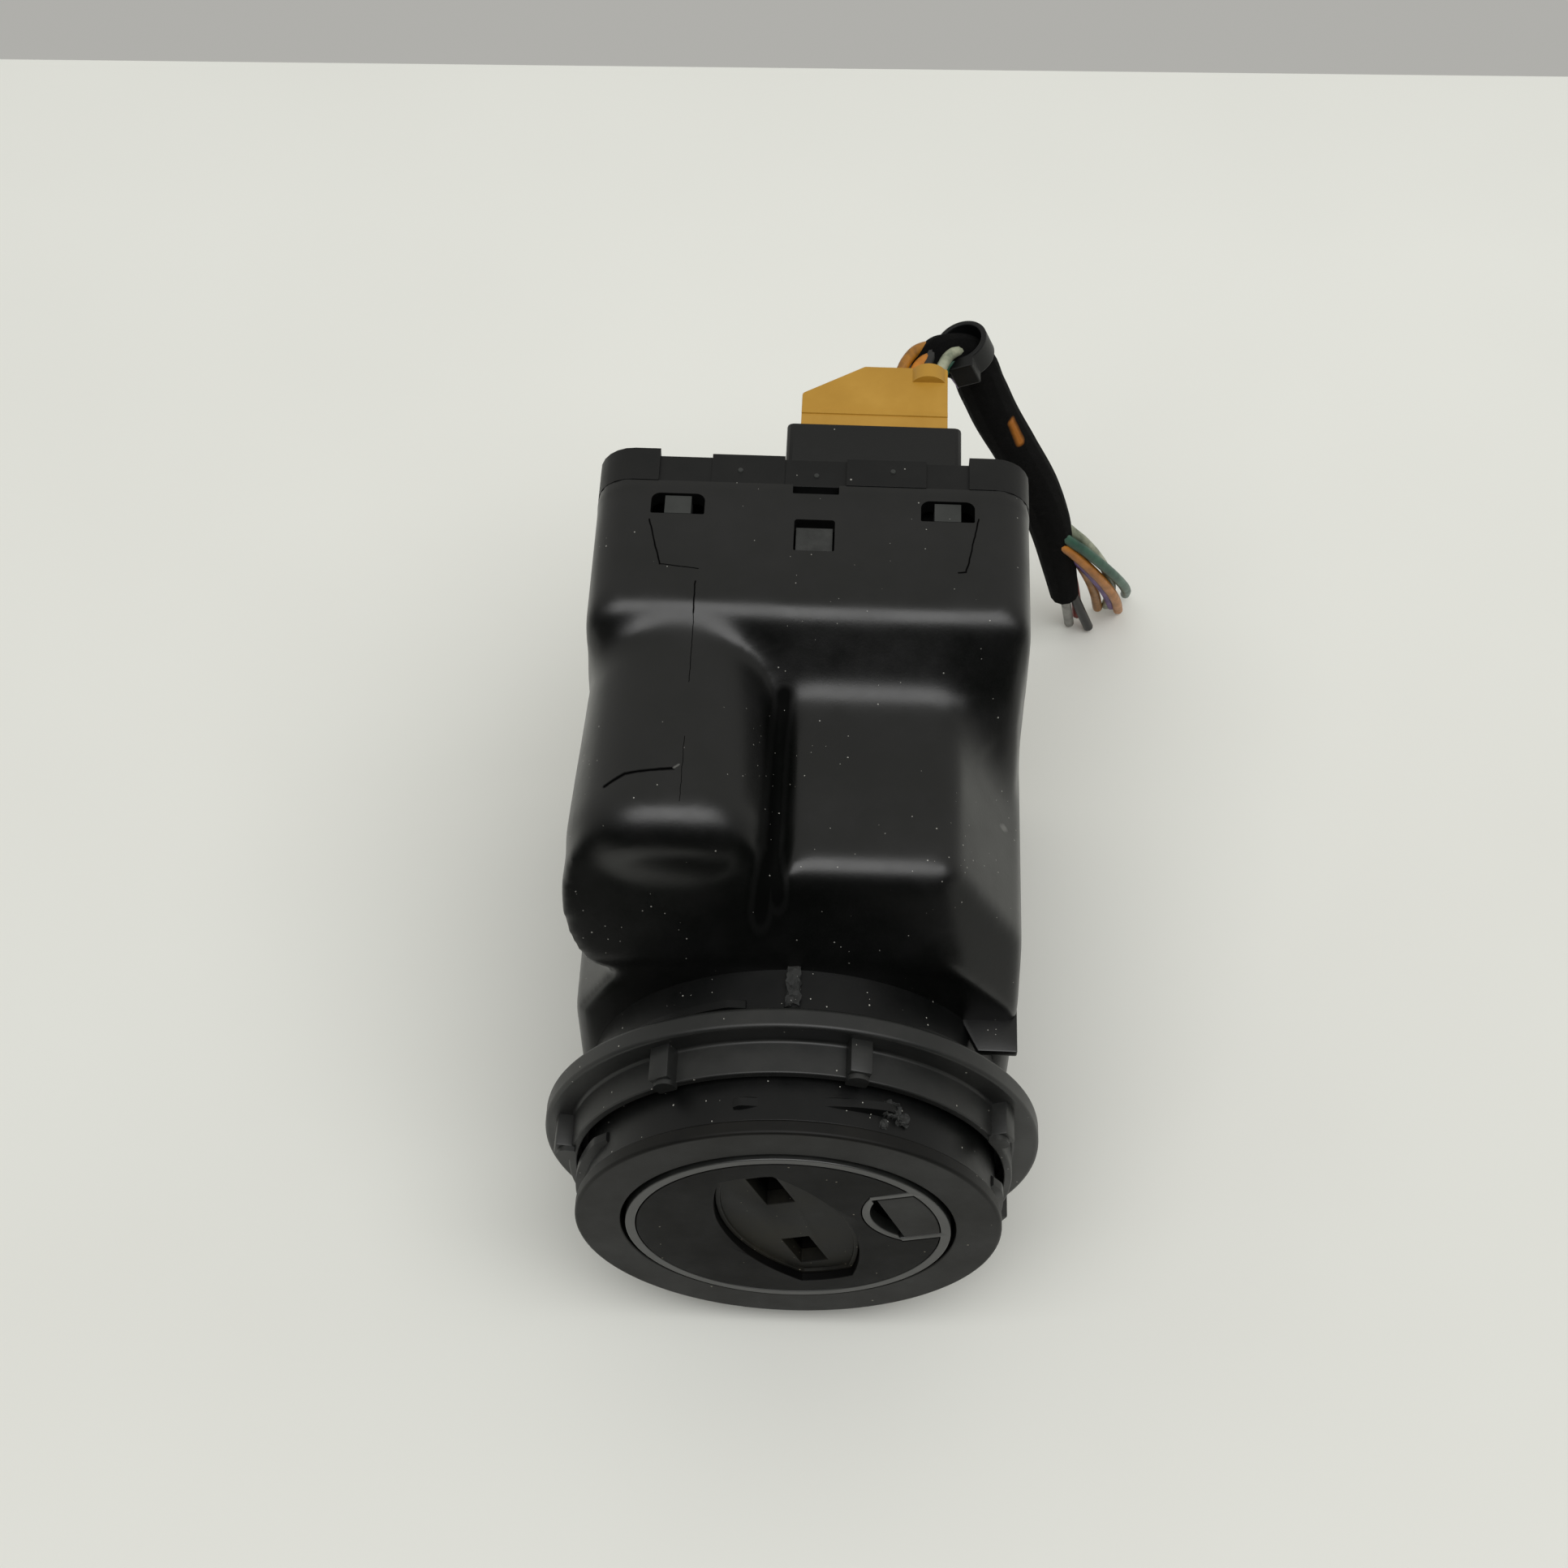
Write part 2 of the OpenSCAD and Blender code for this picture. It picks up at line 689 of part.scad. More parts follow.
module face_disc() {
    dish_r = 80;
    color(satin_plastic) on_rotor() difference() {
        rod_y(disc_r, face_y, head_y - seat_gap);
        translate([0, face_y + dish_depth - dish_r, 0]) sphere(r = dish_r);
        along_y(face_y - eps, head_y + eps) lens(0);
        along_y(face_y - eps, pocket_floor) flap_field(branch_w + insert_gap);
        along_y(face_y, head_y - 0.6) intersection() {
            flap_field(0);
            translate([0, -flap_w / 2]) square([flap_start, flap_w]);
        }
        translate([button_x, 0, 0]) rod_y(button_r + move_gap, face_y, head_y + eps);
    }
}

module light_ring() {
    color(pale_guide) on_rotor() {
        tube_y(rotor_r, rotor_r - light_ring_w, face_y, head_y - seat_gap);
        along_y(face_y, pocket_floor - seat_gap) intersection() {
            difference() {
                flap_field(branch_w);
                flap_field(0);
            }
            circle(r = rotor_r - light_ring_w / 2);
        }
    }
}

module key_guide() {
    color(satin_plastic) on_rotor() difference() {
        union() {
            along_y(guide_y, head_y - seat_gap) lens(insert_gap);
            along_y(guide_y - guide_rim_h, guide_y + 0.3) difference() {
                lens(insert_gap);
                lens(insert_gap + guide_rim_w);
            }
        }
        blade_windows(guide_y - 1, head_y + eps);
    }
}

module release_cover() {
    color(satin_plastic) on_rotor() along_y(face_y, face_y + flap_t) intersection() {
        translate([flap_start, -flap_w / 2]) square([rotor_r, flap_w]);
        circle(r = rotor_r - light_ring_w - insert_gap);
    }
}

module release_button() {
    color(amber_plastic) on_rotor() translate([button_x, 0, 0]) rod_y(button_r, button_y, button_back);
}

module button_spring() {
    color(steel) on_rotor() translate([button_x, 0, 0])
        coil_spring(button_r - 0.55, 0.3, button_back + seat_gap, button_bore_back - seat_gap, 4, 10);
}

// Core and driver

tang_w = 4;
tang_h = 16;
tang_l = 3;

module lock_core() {
    color(core_brown) on_rotor() difference() {
        union() {
            rod_y(rotor_r, head_y, head_back);
            rod_y(core_r, head_back - eps, core_back);
        }
        blade_windows(head_y - eps, head_y + keyway_depth);
        translate([button_x, 0, 0]) rod_y(button_r + run_fit, head_y - eps, button_bore_back);
        block(
            [-tang_w / 2 - insert_gap, core_back - tang_l - insert_gap, -tang_h / 2 - insert_gap],
            [tang_w / 2 + insert_gap, core_back + eps, tang_h / 2 + insert_gap]
        );
    }
}

// The slot in the lock plate stays open under the magnet's tooth for the whole turn of the key
module driver() {
    slot_margin = 10;
    color(core_brown) difference() {
        union() {
            rod_y(plate_d / 2, core_back + seat_gap, plate_back);
            rod_y(drum_r, plate_back - eps, carrier_y - seat_gap);
            rod_y(shaft_d / 2, carrier_y - eps, carrier_back);
            rod_y(pilot_r, carrier_back - eps, base_y + contact_base_t);
            on_rotor() block(
                [-tang_w / 2, core_back - tang_l, -tang_h / 2],
                [tang_w / 2, core_back + 1, tang_h / 2]
            );
        }
        sector_y(arm_lean - key_turn / 2, key_turn + 2 * slot_margin)
            translate([tooth_r - tooth_w / 2 - move_gap, core_back - 1])
            square([tooth_w + 2 * move_gap, plate_t + 2]);
        block([-far, carrier_y, shaft_d / 2 - 1.5], [far, carrier_back + eps, far]);
    }
}

module return_spring() {
    spring_r = 0.6;
    color(steel) coil_spring(
        drum_r + spring_r + 0.2, spring_r, plate_back + 2 * plate_t, carrier_y - plate_t, 4, 20
    );
}

// Contacts

module contact_carrier() {
    notch_r = 1.4;
    steps = 3;
    color(core_brown) difference() {
        rod_y(carrier_d / 2, carrier_y, carrier_back - seat_gap);
        difference() {
            rod_y(shaft_d / 2 + insert_gap, carrier_y - eps, carrier_back + eps);
            block([-far, carrier_y - 1, shaft_d / 2 - 1.5 + insert_gap], [far, carrier_back + 1, far]);
        }
        for (i = [0 : steps]) {
            rotate([0, -key_turn * i / steps, 0]) translate([0, 0, carrier_d / 2 + 0.3])
                rod_y(notch_r, carrier_y - eps, carrier_back + eps);
        }
    }
}

wiper_reach = [6.5, 8.6, 10.7];

module contact_wipers() {
    color(copper) for (i = [0 : 2]) {
        rotate([0, 120 * i + 60, 0]) {
            block(
                [-4, carrier_back, wiper_reach[i] - 0.8],
                [0, carrier_back + 0.4, wiper_reach[i] + 0.8]
            );
            block(
                [-0.4, carrier_back, wiper_reach[i] - 0.8],
                [0, base_y - track_t - 0.2, wiper_reach[i] + 0.8]
            );
        }
    }
}

module contact_tracks() {
    color(copper) for (reach = wiper_reach) {
        tube_y(reach + 0.85, reach - 0.85, base_y - track_t, base_y - seat_gap);
    }
}

module contact_base() {
    half = contact_base_w / 2;
    post_r = 1.6;
    post_in = half - 2.5 * post_r;
    color(core_brown) {
        difference() {
            block([-half, base_y, -half], [half, base_y + contact_base_t, half]);
            rod_y(pilot_r + run_fit, base_y - eps, base_y + contact_base_t + eps);
        }
        for (sx = [-1, 1], sz = [-1, 1]) {
            translate([sx * post_in, 0, sz * post_in]) rod_y(post_r, base_y + post_r / 2, board_y - seat_gap);
        }
    }
}

module detent_spring() {
    leaf_t = 0.5;
    leaf_half = 9;
    nose_r = 1.2;
    leaf_z = carrier_d / 2 + nose_r + move_gap;
    color(steel) {
        block([-leaf_half, carrier_y + 0.5, leaf_z], [leaf_half, carrier_back - 0.5, leaf_z + leaf_t]);
        for (side = [-1, 1]) {
            block(
                [side * leaf_half - 0.75, carrier_y + 0.5, leaf_z],
                [side * leaf_half + 0.75, base_y - seat_gap, leaf_z + leaf_t]
            );
        }
        intersection() {
            translate([0, 0, leaf_z + leaf_t / 4]) rod_y(nose_r, carrier_y + 0.5, carrier_back - 0.5);
            block([-far, 0, 0], [far, far, leaf_z + leaf_t / 2]);
        }
    }
}

// Reader coil round the core's bearing

coil_in_r = bearing_out_r + 0.1;
coil_out_r = barrel_in_r - 0.15;
coil_front = bezel_t + spigot_l + 2.4;
coil_back = web_front - seat_gap;
coil_flange = 0.8;
coil_floor_r = coil_in_r + 0.8;

module antenna_bobbin() {
    color(core_brown) {
        tube_y(coil_floor_r, coil_in_r, coil_front, coil_back);
        tube_y(coil_out_r, coil_in_r, coil_front, coil_front + coil_flange);
        tube_y(coil_out_r, coil_in_r, coil_back - coil_flange, coil_back);
    }
}

module antenna_coil() {
    color(copper) tube_y(
        coil_out_r - 0.5, coil_floor_r + seat_gap,
        coil_front + coil_flange + seat_gap, coil_back - coil_flange - seat_gap
    );
}

// Key-lock magnet in the bulge

module on_magnet() {
    translate([bulge_x, 0, bulge_z]) children();
}

bobbin_in_r = plunger_r + run_fit;
bobbin_wall = 0.8;
bobbin_flange = 0.8;
magnet_in = can_y + can_wall + seat_gap;
magnet_out = can_back - can_wall - seat_gap;

module solenoid_can() {
    color(steel) on_magnet() difference() {
        rod_y(can_r, can_y, can_back);
        rod_y(can_r - can_wall, can_y + can_wall, can_back - can_wall);
        rod_y(bobbin_in_r, can_y - eps, can_y + 2 * can_wall);
    }
}

module solenoid_bobbin() {
    flange_r = can_r - can_wall - seat_gap;
    color(core_brown) on_magnet() difference() {
        union() {
            rod_y(bobbin_in_r + bobbin_wall, magnet_in, magnet_out);
            rod_y(flange_r, magnet_in, magnet_in + bobbin_flange);
            rod_y(flange_r, magnet_out - bobbin_flange, magnet_out);
        }
        rod_y(bobbin_in_r, magnet_in - eps, magnet_out + eps);
    }
}

module solenoid_coil() {
    color(copper) on_magnet() tube_y(
        can_r - can_wall - 0.6, bobbin_in_r + bobbin_wall + seat_gap,
        magnet_in + bobbin_flange + seat_gap, magnet_out - bobbin_flange - seat_gap
    );
}

module plunger() {
    arm_w = 5;
    color(steel) {
        on_magnet() rod_y(plunger_r, arm_y + arm_t / 2, plunger_back);
        rotate([0, arm_lean, 0]) {
            block(
                [-arm_w / 2, arm_y, tooth_r - tooth_w / 2],
                [arm_w / 2, arm_y + arm_t, arm_reach + plunger_r]
            );
            block(
                [-1, plate_back + move_gap, tooth_r - tooth_w / 2],
                [1, arm_y + eps, tooth_r + tooth_w / 2]
            );
        }
    }
}

module plunger_spring() {
    color(steel) on_magnet()
        coil_spring(plunger_r - 0.6, 0.35, plunger_back + seat_gap, can_back - can_wall - seat_gap, 4, 12);
}

// Board, contacts of the plug and rear cover

function pin_x(i) = socket_x + (i - (pin_columns - 1) / 2) * pin_pitch;
function pin_z(row) = socket_z + (row - 0.5) * 2 * pin_pitch;

module at_pins() {
    for (i = [0 : pin_columns - 1], row = [0, 1]) {
        translate([pin_x(i), 0, pin_z(row)]) children();
    }
}

module square_pin(w, y0, y1) {
    block([-w / 2, y0, -w / 2], [w / 2, y1, w / 2]);
}

module circuit_board() {
    side_gap = 0.5;
    color(board_green) difference() {
        block(
            [-half_w + wall + side_gap, board_y, base_z + wall + side_gap],
            [half_w - wall - side_gap, board_back, box_h - wall - 2.5]
        );
        at_pins() rod_y(pin_w, board_y - eps, board_back + eps);
    }
}

module control_chip() {
    right = -contact_base_w / 16;
    color("#1e1e1e") block(
        [right - chip_w, board_back + seat_gap, -chip_w],
        [right, board_back + seat_gap + chip_t, 0]
    );
}

module pin_header() {
    color(black_plastic) difference() {
        block(
            [pin_x(0) - pin_pitch, board_back + seat_gap, pin_z(0) - pin_pitch],
            [pin_x(pin_columns - 1) + pin_pitch, cover_y - seat_gap, pin_z(1) + pin_pitch]
        );
        at_pins() square_pin(pin_w + 2 * seat_gap, board_y, cover_y + 1);
    }
}

module terminal_pins() {
    color(copper) at_pins() square_pin(pin_w, pins_front, pins_back);
}

module cover_hooks() {
    hook_top = box_h - wall - 0.25;
    for (side = [-1, 1]) {
        block(
            [side * hook_x - hook_w / 2, hook_y, hook_top - hook_t],
            [side * hook_x + hook_w / 2, cover_y + 1, hook_top]
        );
        block(
            [side * hook_x - hook_w / 2, hook_y, hook_top - 1],
            [side * hook_x + hook_w / 2, hook_y + hook_l, box_h - 0.2]
        );
    }
    block(
        [latch_x - latch_w / 2, latch_y, hook_top - hook_t],
        [latch_x + latch_w / 2, cover_y + 1, hook_top]
    );
    block(
        [latch_x - latch_w / 2, latch_y, hook_top - 1],
        [latch_x + latch_w / 2, latch_y + latch_l, box_h - 0.7]
    );
}

module cover_plate() {
    intersection() {
        along_y(cover_y, cover_back + corner_l) polygon(rounded(box_outline));
        union() {
            block([-far, 0, -far], [far, cover_back, box_h - strip_drop]);
            block([-far, 0, -far], [-half_w + corner_w, cover_back + corner_l, far]);
            block([half_w - corner_w, 0, -far], [far, cover_back + corner_l, far]);
            block([socket_x - label_w / 3, 0, 0], [socket_x + 2 * label_w / 3, cover_back, far]);
            block(
                [socket_left - land_w, 0, 0],
                [socket_left, cover_back + corner_l / 2, box_h - strip_drop / 2]
            );
        }
    }
}

module socket_box(inset, corner_r, y0, y1) {
    half = socket_w / 2 - inset;
    along_y(y0, y1) polygon(rounded([
        [socket_x - half, socket_low + inset, corner_r], [socket_x + half, socket_low + inset, corner_r],
        [socket_x + half, socket_top - inset, corner_r], [socket_x - half, socket_top - inset, corner_r]
    ], 3));
}

module rear_cover() {
    post_r = 2;
    lip = 1.4;
    color(black_plastic) {
        difference() {
            union() {
                cover_plate();
                socket_box(0, 0.8, cover_y + 1, socket_back);
            }
            socket_box(socket_wall, plug_gap, cover_back, socket_back + eps);
            at_pins() square_pin(pin_w + 2 * seat_gap, cover_y - 1, cover_back + 1);
        }
        cover_hooks();
        for (side = [-1, 1], z = [base_z + 6, box_h - wall - 7.5]) {
            translate([side * (half_w - wall - 3.5), 0, z]) rod_y(post_r, board_back + seat_gap, cover_y + 1);
        }
        block(
            [-half_w + wall + 0.15, cover_y - 2.5, base_z + wall + 0.15],
            [half_w - wall - 0.15, cover_y + 1, base_z + wall + 0.15 + lip]
        );
    }
}

// Plug and harness

module wire_plug() {
    left = socket_x - plug_half_w;
    right = socket_x + plug_half_w;
    bump_r = 2.4;
    color(amber_plastic) {
        difference() {
            translate([0, 0, plug_low]) linear_extrude(plug_top - plug_low) polygon(rounded([
                [left, plug_front, 0], [right, plug_front, 0], [right, plug_back, 0.4],
                [left + plug_slant, plug_back, 0.6], [left, plug_back - plug_slant * 0.62, 0.6]
            ], 3));
            at_pins() square_pin(pin_w + 0.4, plug_front - eps, pins_back + 0.5);
        }
        block([left, socket_back + 3.2, plug_top - 1], [right, socket_back + 3.9, plug_top + 0.25]);
        translate([right - bump_r, 0, plug_top - bump_r / 2])
            rod_y(bump_r, plug_back - bump_r, plug_back - 0.2);
    }
}

module plug_clip() {
    band_r = sleeve_d / 2 + 0.4;
    middle = sleeve_route[0];
    lean = atan2(sleeve_route[1][0] - middle[0], middle[2] - sleeve_route[1][2]);
    half_h = 2.2;
    color(black_plastic) behind_plug() translate(middle) rotate([0, -lean, 0]) difference() {
        union() {
            translate([0, 0, -half_h]) cylinder(r = band_r + 0.9, h = 2 * half_h);
            block([-2, -band_r - 2.4, -half_h], [2, 0, half_h]);
        }
        translate([0, 0, -half_h - eps]) cylinder(r = band_r, h = 2 * (half_h + eps));
    }
}

// Place of a wire in the plug's back face and in the round bundle, from the middle line
function plug_spot(k) = [(k % 4 - 1.5) * 1.7, 0, floor(k / 4) * 2.6 - 1.3];
function bundle_spot(k) = k == 0 ? [0, 0, 0] : bundle_r * [cos(360 * k / 7), sin(360 * k / 7), 0];
function exit_point(k, i) =
    exit_route[i] + (1 - exit_gather[i]) * plug_spot(k) + exit_gather[i] * bundle_spot(k);
function loose_point(k, s) =
    let (start = sleeve_route[wire_leave[k]] + bundle_spot(k))
    let (leave = sleeve_route[wire_leave[k] + 1] + bundle_spot(k) + wire_bows[k] * [1, 0, -0.45])
    pow(1 - s, 2) * start + 2 * s * (1 - s) * leave + s * s * wire_ends[k];

module behind_plug() {
    translate([0, plug_back, 0]) children();
}

module plug_wires() {
    color("#8a6a2c") behind_plug() for (k = [0 : len(wire_ends) - 1]) {
        swept([for (i = [0 : len(exit_route) - 1]) exit_point(k, i)], wire_d / 2, 8, [0.6, 0, 0.8]);
    }
}

module harness_sleeve() {
    color("#1b1b1c") behind_plug() swept(sleeve_route, sleeve_d / 2, 10, [0, 1, 0]);
}

module loose_wires() {
    color("#7a3d2a") behind_plug() for (k = [0 : len(wire_ends) - 1]) {
        swept([for (s = [0 : 0.2 : 1]) loose_point(k, s)], wire_d / 2, 8, [0, 1, 0]);
    }
}

housing();
rear_cover();
front_bezel();
lock_ring();
face_disc();
light_ring();
key_guide();
lock_core();
driver();
return_spring();
contact_carrier();
contact_wipers();
contact_base();
contact_tracks();
detent_spring();
antenna_bobbin();
antenna_coil();
solenoid_can();
solenoid_bobbin();
solenoid_coil();
plunger();
plunger_spring();
release_cover();
release_button();
button_spring();
circuit_board();
control_chip();
pin_header();
terminal_pins();
wire_plug();
plug_clip();
plug_wires();
harness_sleeve();
loose_wires();
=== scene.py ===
"""Looks of the dash mounted ignition switch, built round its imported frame.

Lengths are millimetres, as in the part's source, and a finished mesh is scaled to metres once.
The barrel axis is Y, the face looks towards -Y, and +Z is up.
"""

import math

import bmesh
import bpy
from mathutils import Matrix, Vector, noise


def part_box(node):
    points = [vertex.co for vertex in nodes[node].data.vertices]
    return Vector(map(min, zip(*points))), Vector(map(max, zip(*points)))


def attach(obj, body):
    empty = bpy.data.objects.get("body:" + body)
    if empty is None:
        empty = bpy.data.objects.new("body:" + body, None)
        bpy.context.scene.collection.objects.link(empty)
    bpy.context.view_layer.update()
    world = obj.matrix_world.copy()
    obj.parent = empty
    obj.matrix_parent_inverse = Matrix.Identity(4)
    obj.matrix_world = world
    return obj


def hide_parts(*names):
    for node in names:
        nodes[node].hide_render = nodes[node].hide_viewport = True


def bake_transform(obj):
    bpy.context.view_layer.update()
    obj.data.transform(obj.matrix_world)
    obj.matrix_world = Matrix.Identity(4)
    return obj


MM = 0.001

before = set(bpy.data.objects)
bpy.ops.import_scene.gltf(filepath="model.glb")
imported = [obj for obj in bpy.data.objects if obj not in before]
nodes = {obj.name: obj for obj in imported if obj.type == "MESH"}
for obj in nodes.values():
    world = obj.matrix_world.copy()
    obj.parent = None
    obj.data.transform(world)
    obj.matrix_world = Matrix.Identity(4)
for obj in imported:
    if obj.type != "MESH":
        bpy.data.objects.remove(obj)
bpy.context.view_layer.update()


def box_mm(node):
    """Lowest and highest corner of a CAD node, in millimetres."""
    low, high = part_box(node)
    return low / MM, high / MM


# Camera and stage

PHOTO_SIZE = 1932
FOCAL_PIXELS = 3100
SENSOR_W = 36
CAMERA_RIGHT = Vector((0.9992, 0.0390, 0.0036))
CAMERA_UP = Vector((-0.0343, 0.8277, 0.5600))
CAMERA_BACK = Vector((0.0189, -0.5597, 0.8285))
CAMERA_PLACE = Vector((3.4, -124.3, 278.8))

base_z = box_mm("housing")[0].z
TABLE_BACK_Y = 243
TABLE_BACK_TURN = 24
TABLE_FRONT_Y = -150
TABLE_HALF_W = 900


# Materials

def linear(colour):
    """The linear colour of an sRGB hex value, as a shader socket takes it."""
    parts = [int(colour[i : i + 2], 16) / 255 for i in (1, 3, 5)]
    return [c / 12.92 if c <= 0.04045 else ((c + 0.055) / 1.055) ** 2.4 for c in parts] + [1.0]


def per_mm(size):
    """The texture scale that makes a pattern this many millimetres large on Object coordinates."""
    return 1 / (size * MM)


def add(tree, kind, settings=None, **sockets):
    """Adds a shader node. A socket takes a value, or another node's output; _3 names the fourth socket."""
    node = tree.nodes.new("ShaderNode" + kind)
    for key, value in (settings or {}).items():
        setattr(node, key, value)
    for key, value in sockets.items():
        socket = node.inputs[int(key[1:])] if key[0] == "_" else node.inputs[key.replace("_", " ")]
        if isinstance(value, bpy.types.NodeSocket):
            tree.links.new(value, socket)
        else:
            socket.default_value = value
    return node


def begin(name):
    """An empty material with its shader, its node tree and the Object coordinates."""
    material = bpy.data.materials.new(name)
    material.use_nodes = True
    tree = material.node_tree
    tree.nodes.clear()
    shader = add(tree, "BsdfPrincipled")
    add(tree, "OutputMaterial", Surface=shader.outputs["BSDF"])
    spot = add(tree, "TexCoord").outputs["Object"]
    return material, tree, shader, spot


def stops(tree, value, *colours):
    """A colour ramp through (position, hex) stops."""
    ramp = add(tree, "ValToRGB", Fac=value)
    elements = ramp.color_ramp.elements
    while len(elements) < len(colours):
        elements.new(0.5)
    for element, (position, colour) in zip(elements, colours):
        element.position = position
        element.color = linear(colour)
    return ramp.outputs["Color"]


def spread(tree, value, low, high, to_low, to_high):
    """Maps a value from one range to another, and holds it there."""
    return add(
        tree, "MapRange", {"clamp": True}, Value=value, From_Min=low, From_Max=high, To_Min=to_low, To_Max=to_high
    ).outputs["Result"]


def blend(tree, share, below, above):
    """Mixes two colours by a share from 0 to 1."""
    return add(tree, "Mix", {"data_type": "RGBA"}, _0=share, _6=below, _7=above).outputs[2]


def reckon(tree, operation, first, second):
    """One step of arithmetic."""
    return add(tree, "Math", {"operation": operation}, _0=first, _1=second).outputs[0]


def stroke(tree, spot, start, end, width):
    """1 on a fine line between two points on the surface, falling to 0 at its edges."""
    reach = Vector(end) - Vector(start)
    gone = add(tree, "VectorMath", {"operation": "SUBTRACT"}, _0=spot, _1=Vector(start) * MM).outputs["Vector"]
    step = reach / reach.length_squared / MM
    share = add(tree, "VectorMath", {"operation": "DOT_PRODUCT"}, _0=gone, _1=step).outputs["Value"]
    held = spread(tree, share, 0.0, 1.0, 0.0, 1.0)
    near = add(tree, "VectorMath", {"operation": "SCALE"}, _0=reach * MM, Scale=held).outputs["Vector"]
    away = add(tree, "VectorMath", {"operation": "DISTANCE"}, _0=gone, _1=near).outputs["Value"]
    return spread(tree, away, 0.3 * width * MM, width * MM, 1.0, 0.0)


def strokes(tree, spot, lines, keep=(1, 1, 0)):
    """All of a list of (start, end, width) lines, slightly wavering; keep tells which axes count."""
    waver = add(tree, "TexNoise", Vector=spot, Scale=per_mm(1.5), Detail=2.0)
    drift = add(tree, "VectorMath", {"operation": "SCALE"}, _0=waver.outputs["Color"], Scale=0.25 * MM)
    moved = add(tree, "VectorMath", {"operation": "ADD"}, _0=spot, _1=drift.outputs["Vector"]).outputs["Vector"]
    settled = add(tree, "VectorMath", {"operation": "SUBTRACT"}, _0=moved, _1=(0.125 * MM,) * 3).outputs["Vector"]
    laid = add(tree, "VectorMath", {"operation": "MULTIPLY"}, _0=settled, _1=keep).outputs["Vector"]
    total = stroke(tree, laid, *lines[0])
    for line in lines[1:]:
        total = reckon(tree, "MAXIMUM", total, stroke(tree, laid, *line))
    return total


def dust_specks(tree, spot, cell, most):
    """Crumbs of dust, in drifts, mostly at the front and on what faces up; most is the share of cells with one."""
    grid = add(tree, "TexVoronoi", Vector=spot, Scale=per_mm(cell), Randomness=1.0)
    drifts = add(tree, "TexNoise", Vector=spot, Scale=per_mm(13), Detail=2.0, Roughness=0.5)
    facing = add(tree, "SeparateXYZ", Vector=add(tree, "TexCoord").outputs["Normal"]).outputs["Z"]
    chance = add(tree, "SeparateColor", Color=grid.outputs["Color"])
    share = spread(tree, drifts.outputs["Fac"], 0.38, 0.66, 0.1 * most, most)
    depth = add(tree, "SeparateXYZ", Vector=spot).outputs["Y"]
    ahead = reckon(tree, "MULTIPLY", share, spread(tree, depth, 30 * MM, 56 * MM, 1.0, 0.35))
    lying = reckon(tree, "MULTIPLY", ahead, spread(tree, facing, -0.2, 0.7, 0.35, 1.0))
    there = reckon(tree, "LESS_THAN", chance.outputs["Red"], lying)
    reach = spread(tree, chance.outputs["Green"], 0.0, 1.0, 0.045, 0.12)
    inside = reckon(tree, "LESS_THAN", grid.outputs["Distance"], reach)
    return reckon(tree, "MULTIPLY", there, inside)


def moulded(
    name, colour, rubbed, roughness, grain, dust, cell=1.0, most=0.5, relief=0.02, gloss=0.5, scores=(), scratches=(),
    grime_and_shade=(),
):
    """Injection moulded plastic: eroded grain, rubbed patches, fine lines and crumbs of dust on a soft sheen."""
    material, tree, shader, spot = begin(name)
    pits = add(tree, "TexNoise", Vector=spot, Scale=per_mm(grain), Detail=3.0, Roughness=0.6)
    patches = add(tree, "TexNoise", Vector=spot, Scale=per_mm(11), Detail=6.0, Roughness=0.66)
    patch = spread(tree, patches.outputs["Fac"], 0.42, 0.72, 0.0, 1.0)
    ground = blend(tree, patch, linear(colour), linear(rubbed))
    height = pits.outputs["Fac"]
    upper = spread(tree, add(tree, "SeparateXYZ", Vector=spot).outputs["Z"], 20 * MM, 21 * MM, 0.0, 1.0)
    if scores:
        line = reckon(tree, "MULTIPLY", strokes(tree, spot, scores), upper)
        ground = blend(tree, reckon(tree, "MULTIPLY", line, 0.95), ground, linear("#010101"))
        height = reckon(tree, "SUBTRACT", height, reckon(tree, "MULTIPLY", line, 1.0))
    if scratches:
        line = reckon(tree, "MULTIPLY", strokes(tree, spot, scratches), upper)
        ground = blend(tree, reckon(tree, "MULTIPLY", line, 0.75), ground, linear("#5d5d5a"))
        height = reckon(tree, "SUBTRACT", height, reckon(tree, "MULTIPLY", line, 2.0))
    crumbs = dust_specks(tree, spot, cell, most)
    tree.links.new(blend(tree, crumbs, ground, linear(dust)), shader.inputs["Base Color"])
    sheen = spread(tree, patches.outputs["Fac"], 0.3, 0.75, roughness - 0.05, roughness + 0.12)
    tree.links.new(sheen, shader.inputs["Roughness"])
    bump = add(tree, "Bump", Strength=0.35, Distance=relief * MM, Height=height)
    tree.links.new(bump.outputs["Normal"], shader.inputs["Normal"])
    shader.inputs["IOR"].default_value = 1.5
    shader.inputs["Specular IOR Level"].default_value = gloss
    # Painted shade: along the given shade lines and the scores the shine is dulled and roughened, standing in for
    # shade in the crease
    if grime_and_shade:
        shade_and_score_lines = reckon(tree, "MULTIPLY", strokes(tree, spot, [*grime_and_shade, *scores]), upper)
        tree.links.new(spread(tree, shade_and_score_lines, 0.0, 1.0, gloss, 0.03), shader.inputs["Specular IOR Level"])
        dulled = reckon(tree, "MAXIMUM", sheen, spread(tree, shade_and_score_lines, 0.0, 1.0, 0.0, 0.9))
        tree.links.new(dulled, shader.inputs["Roughness"])
    return material


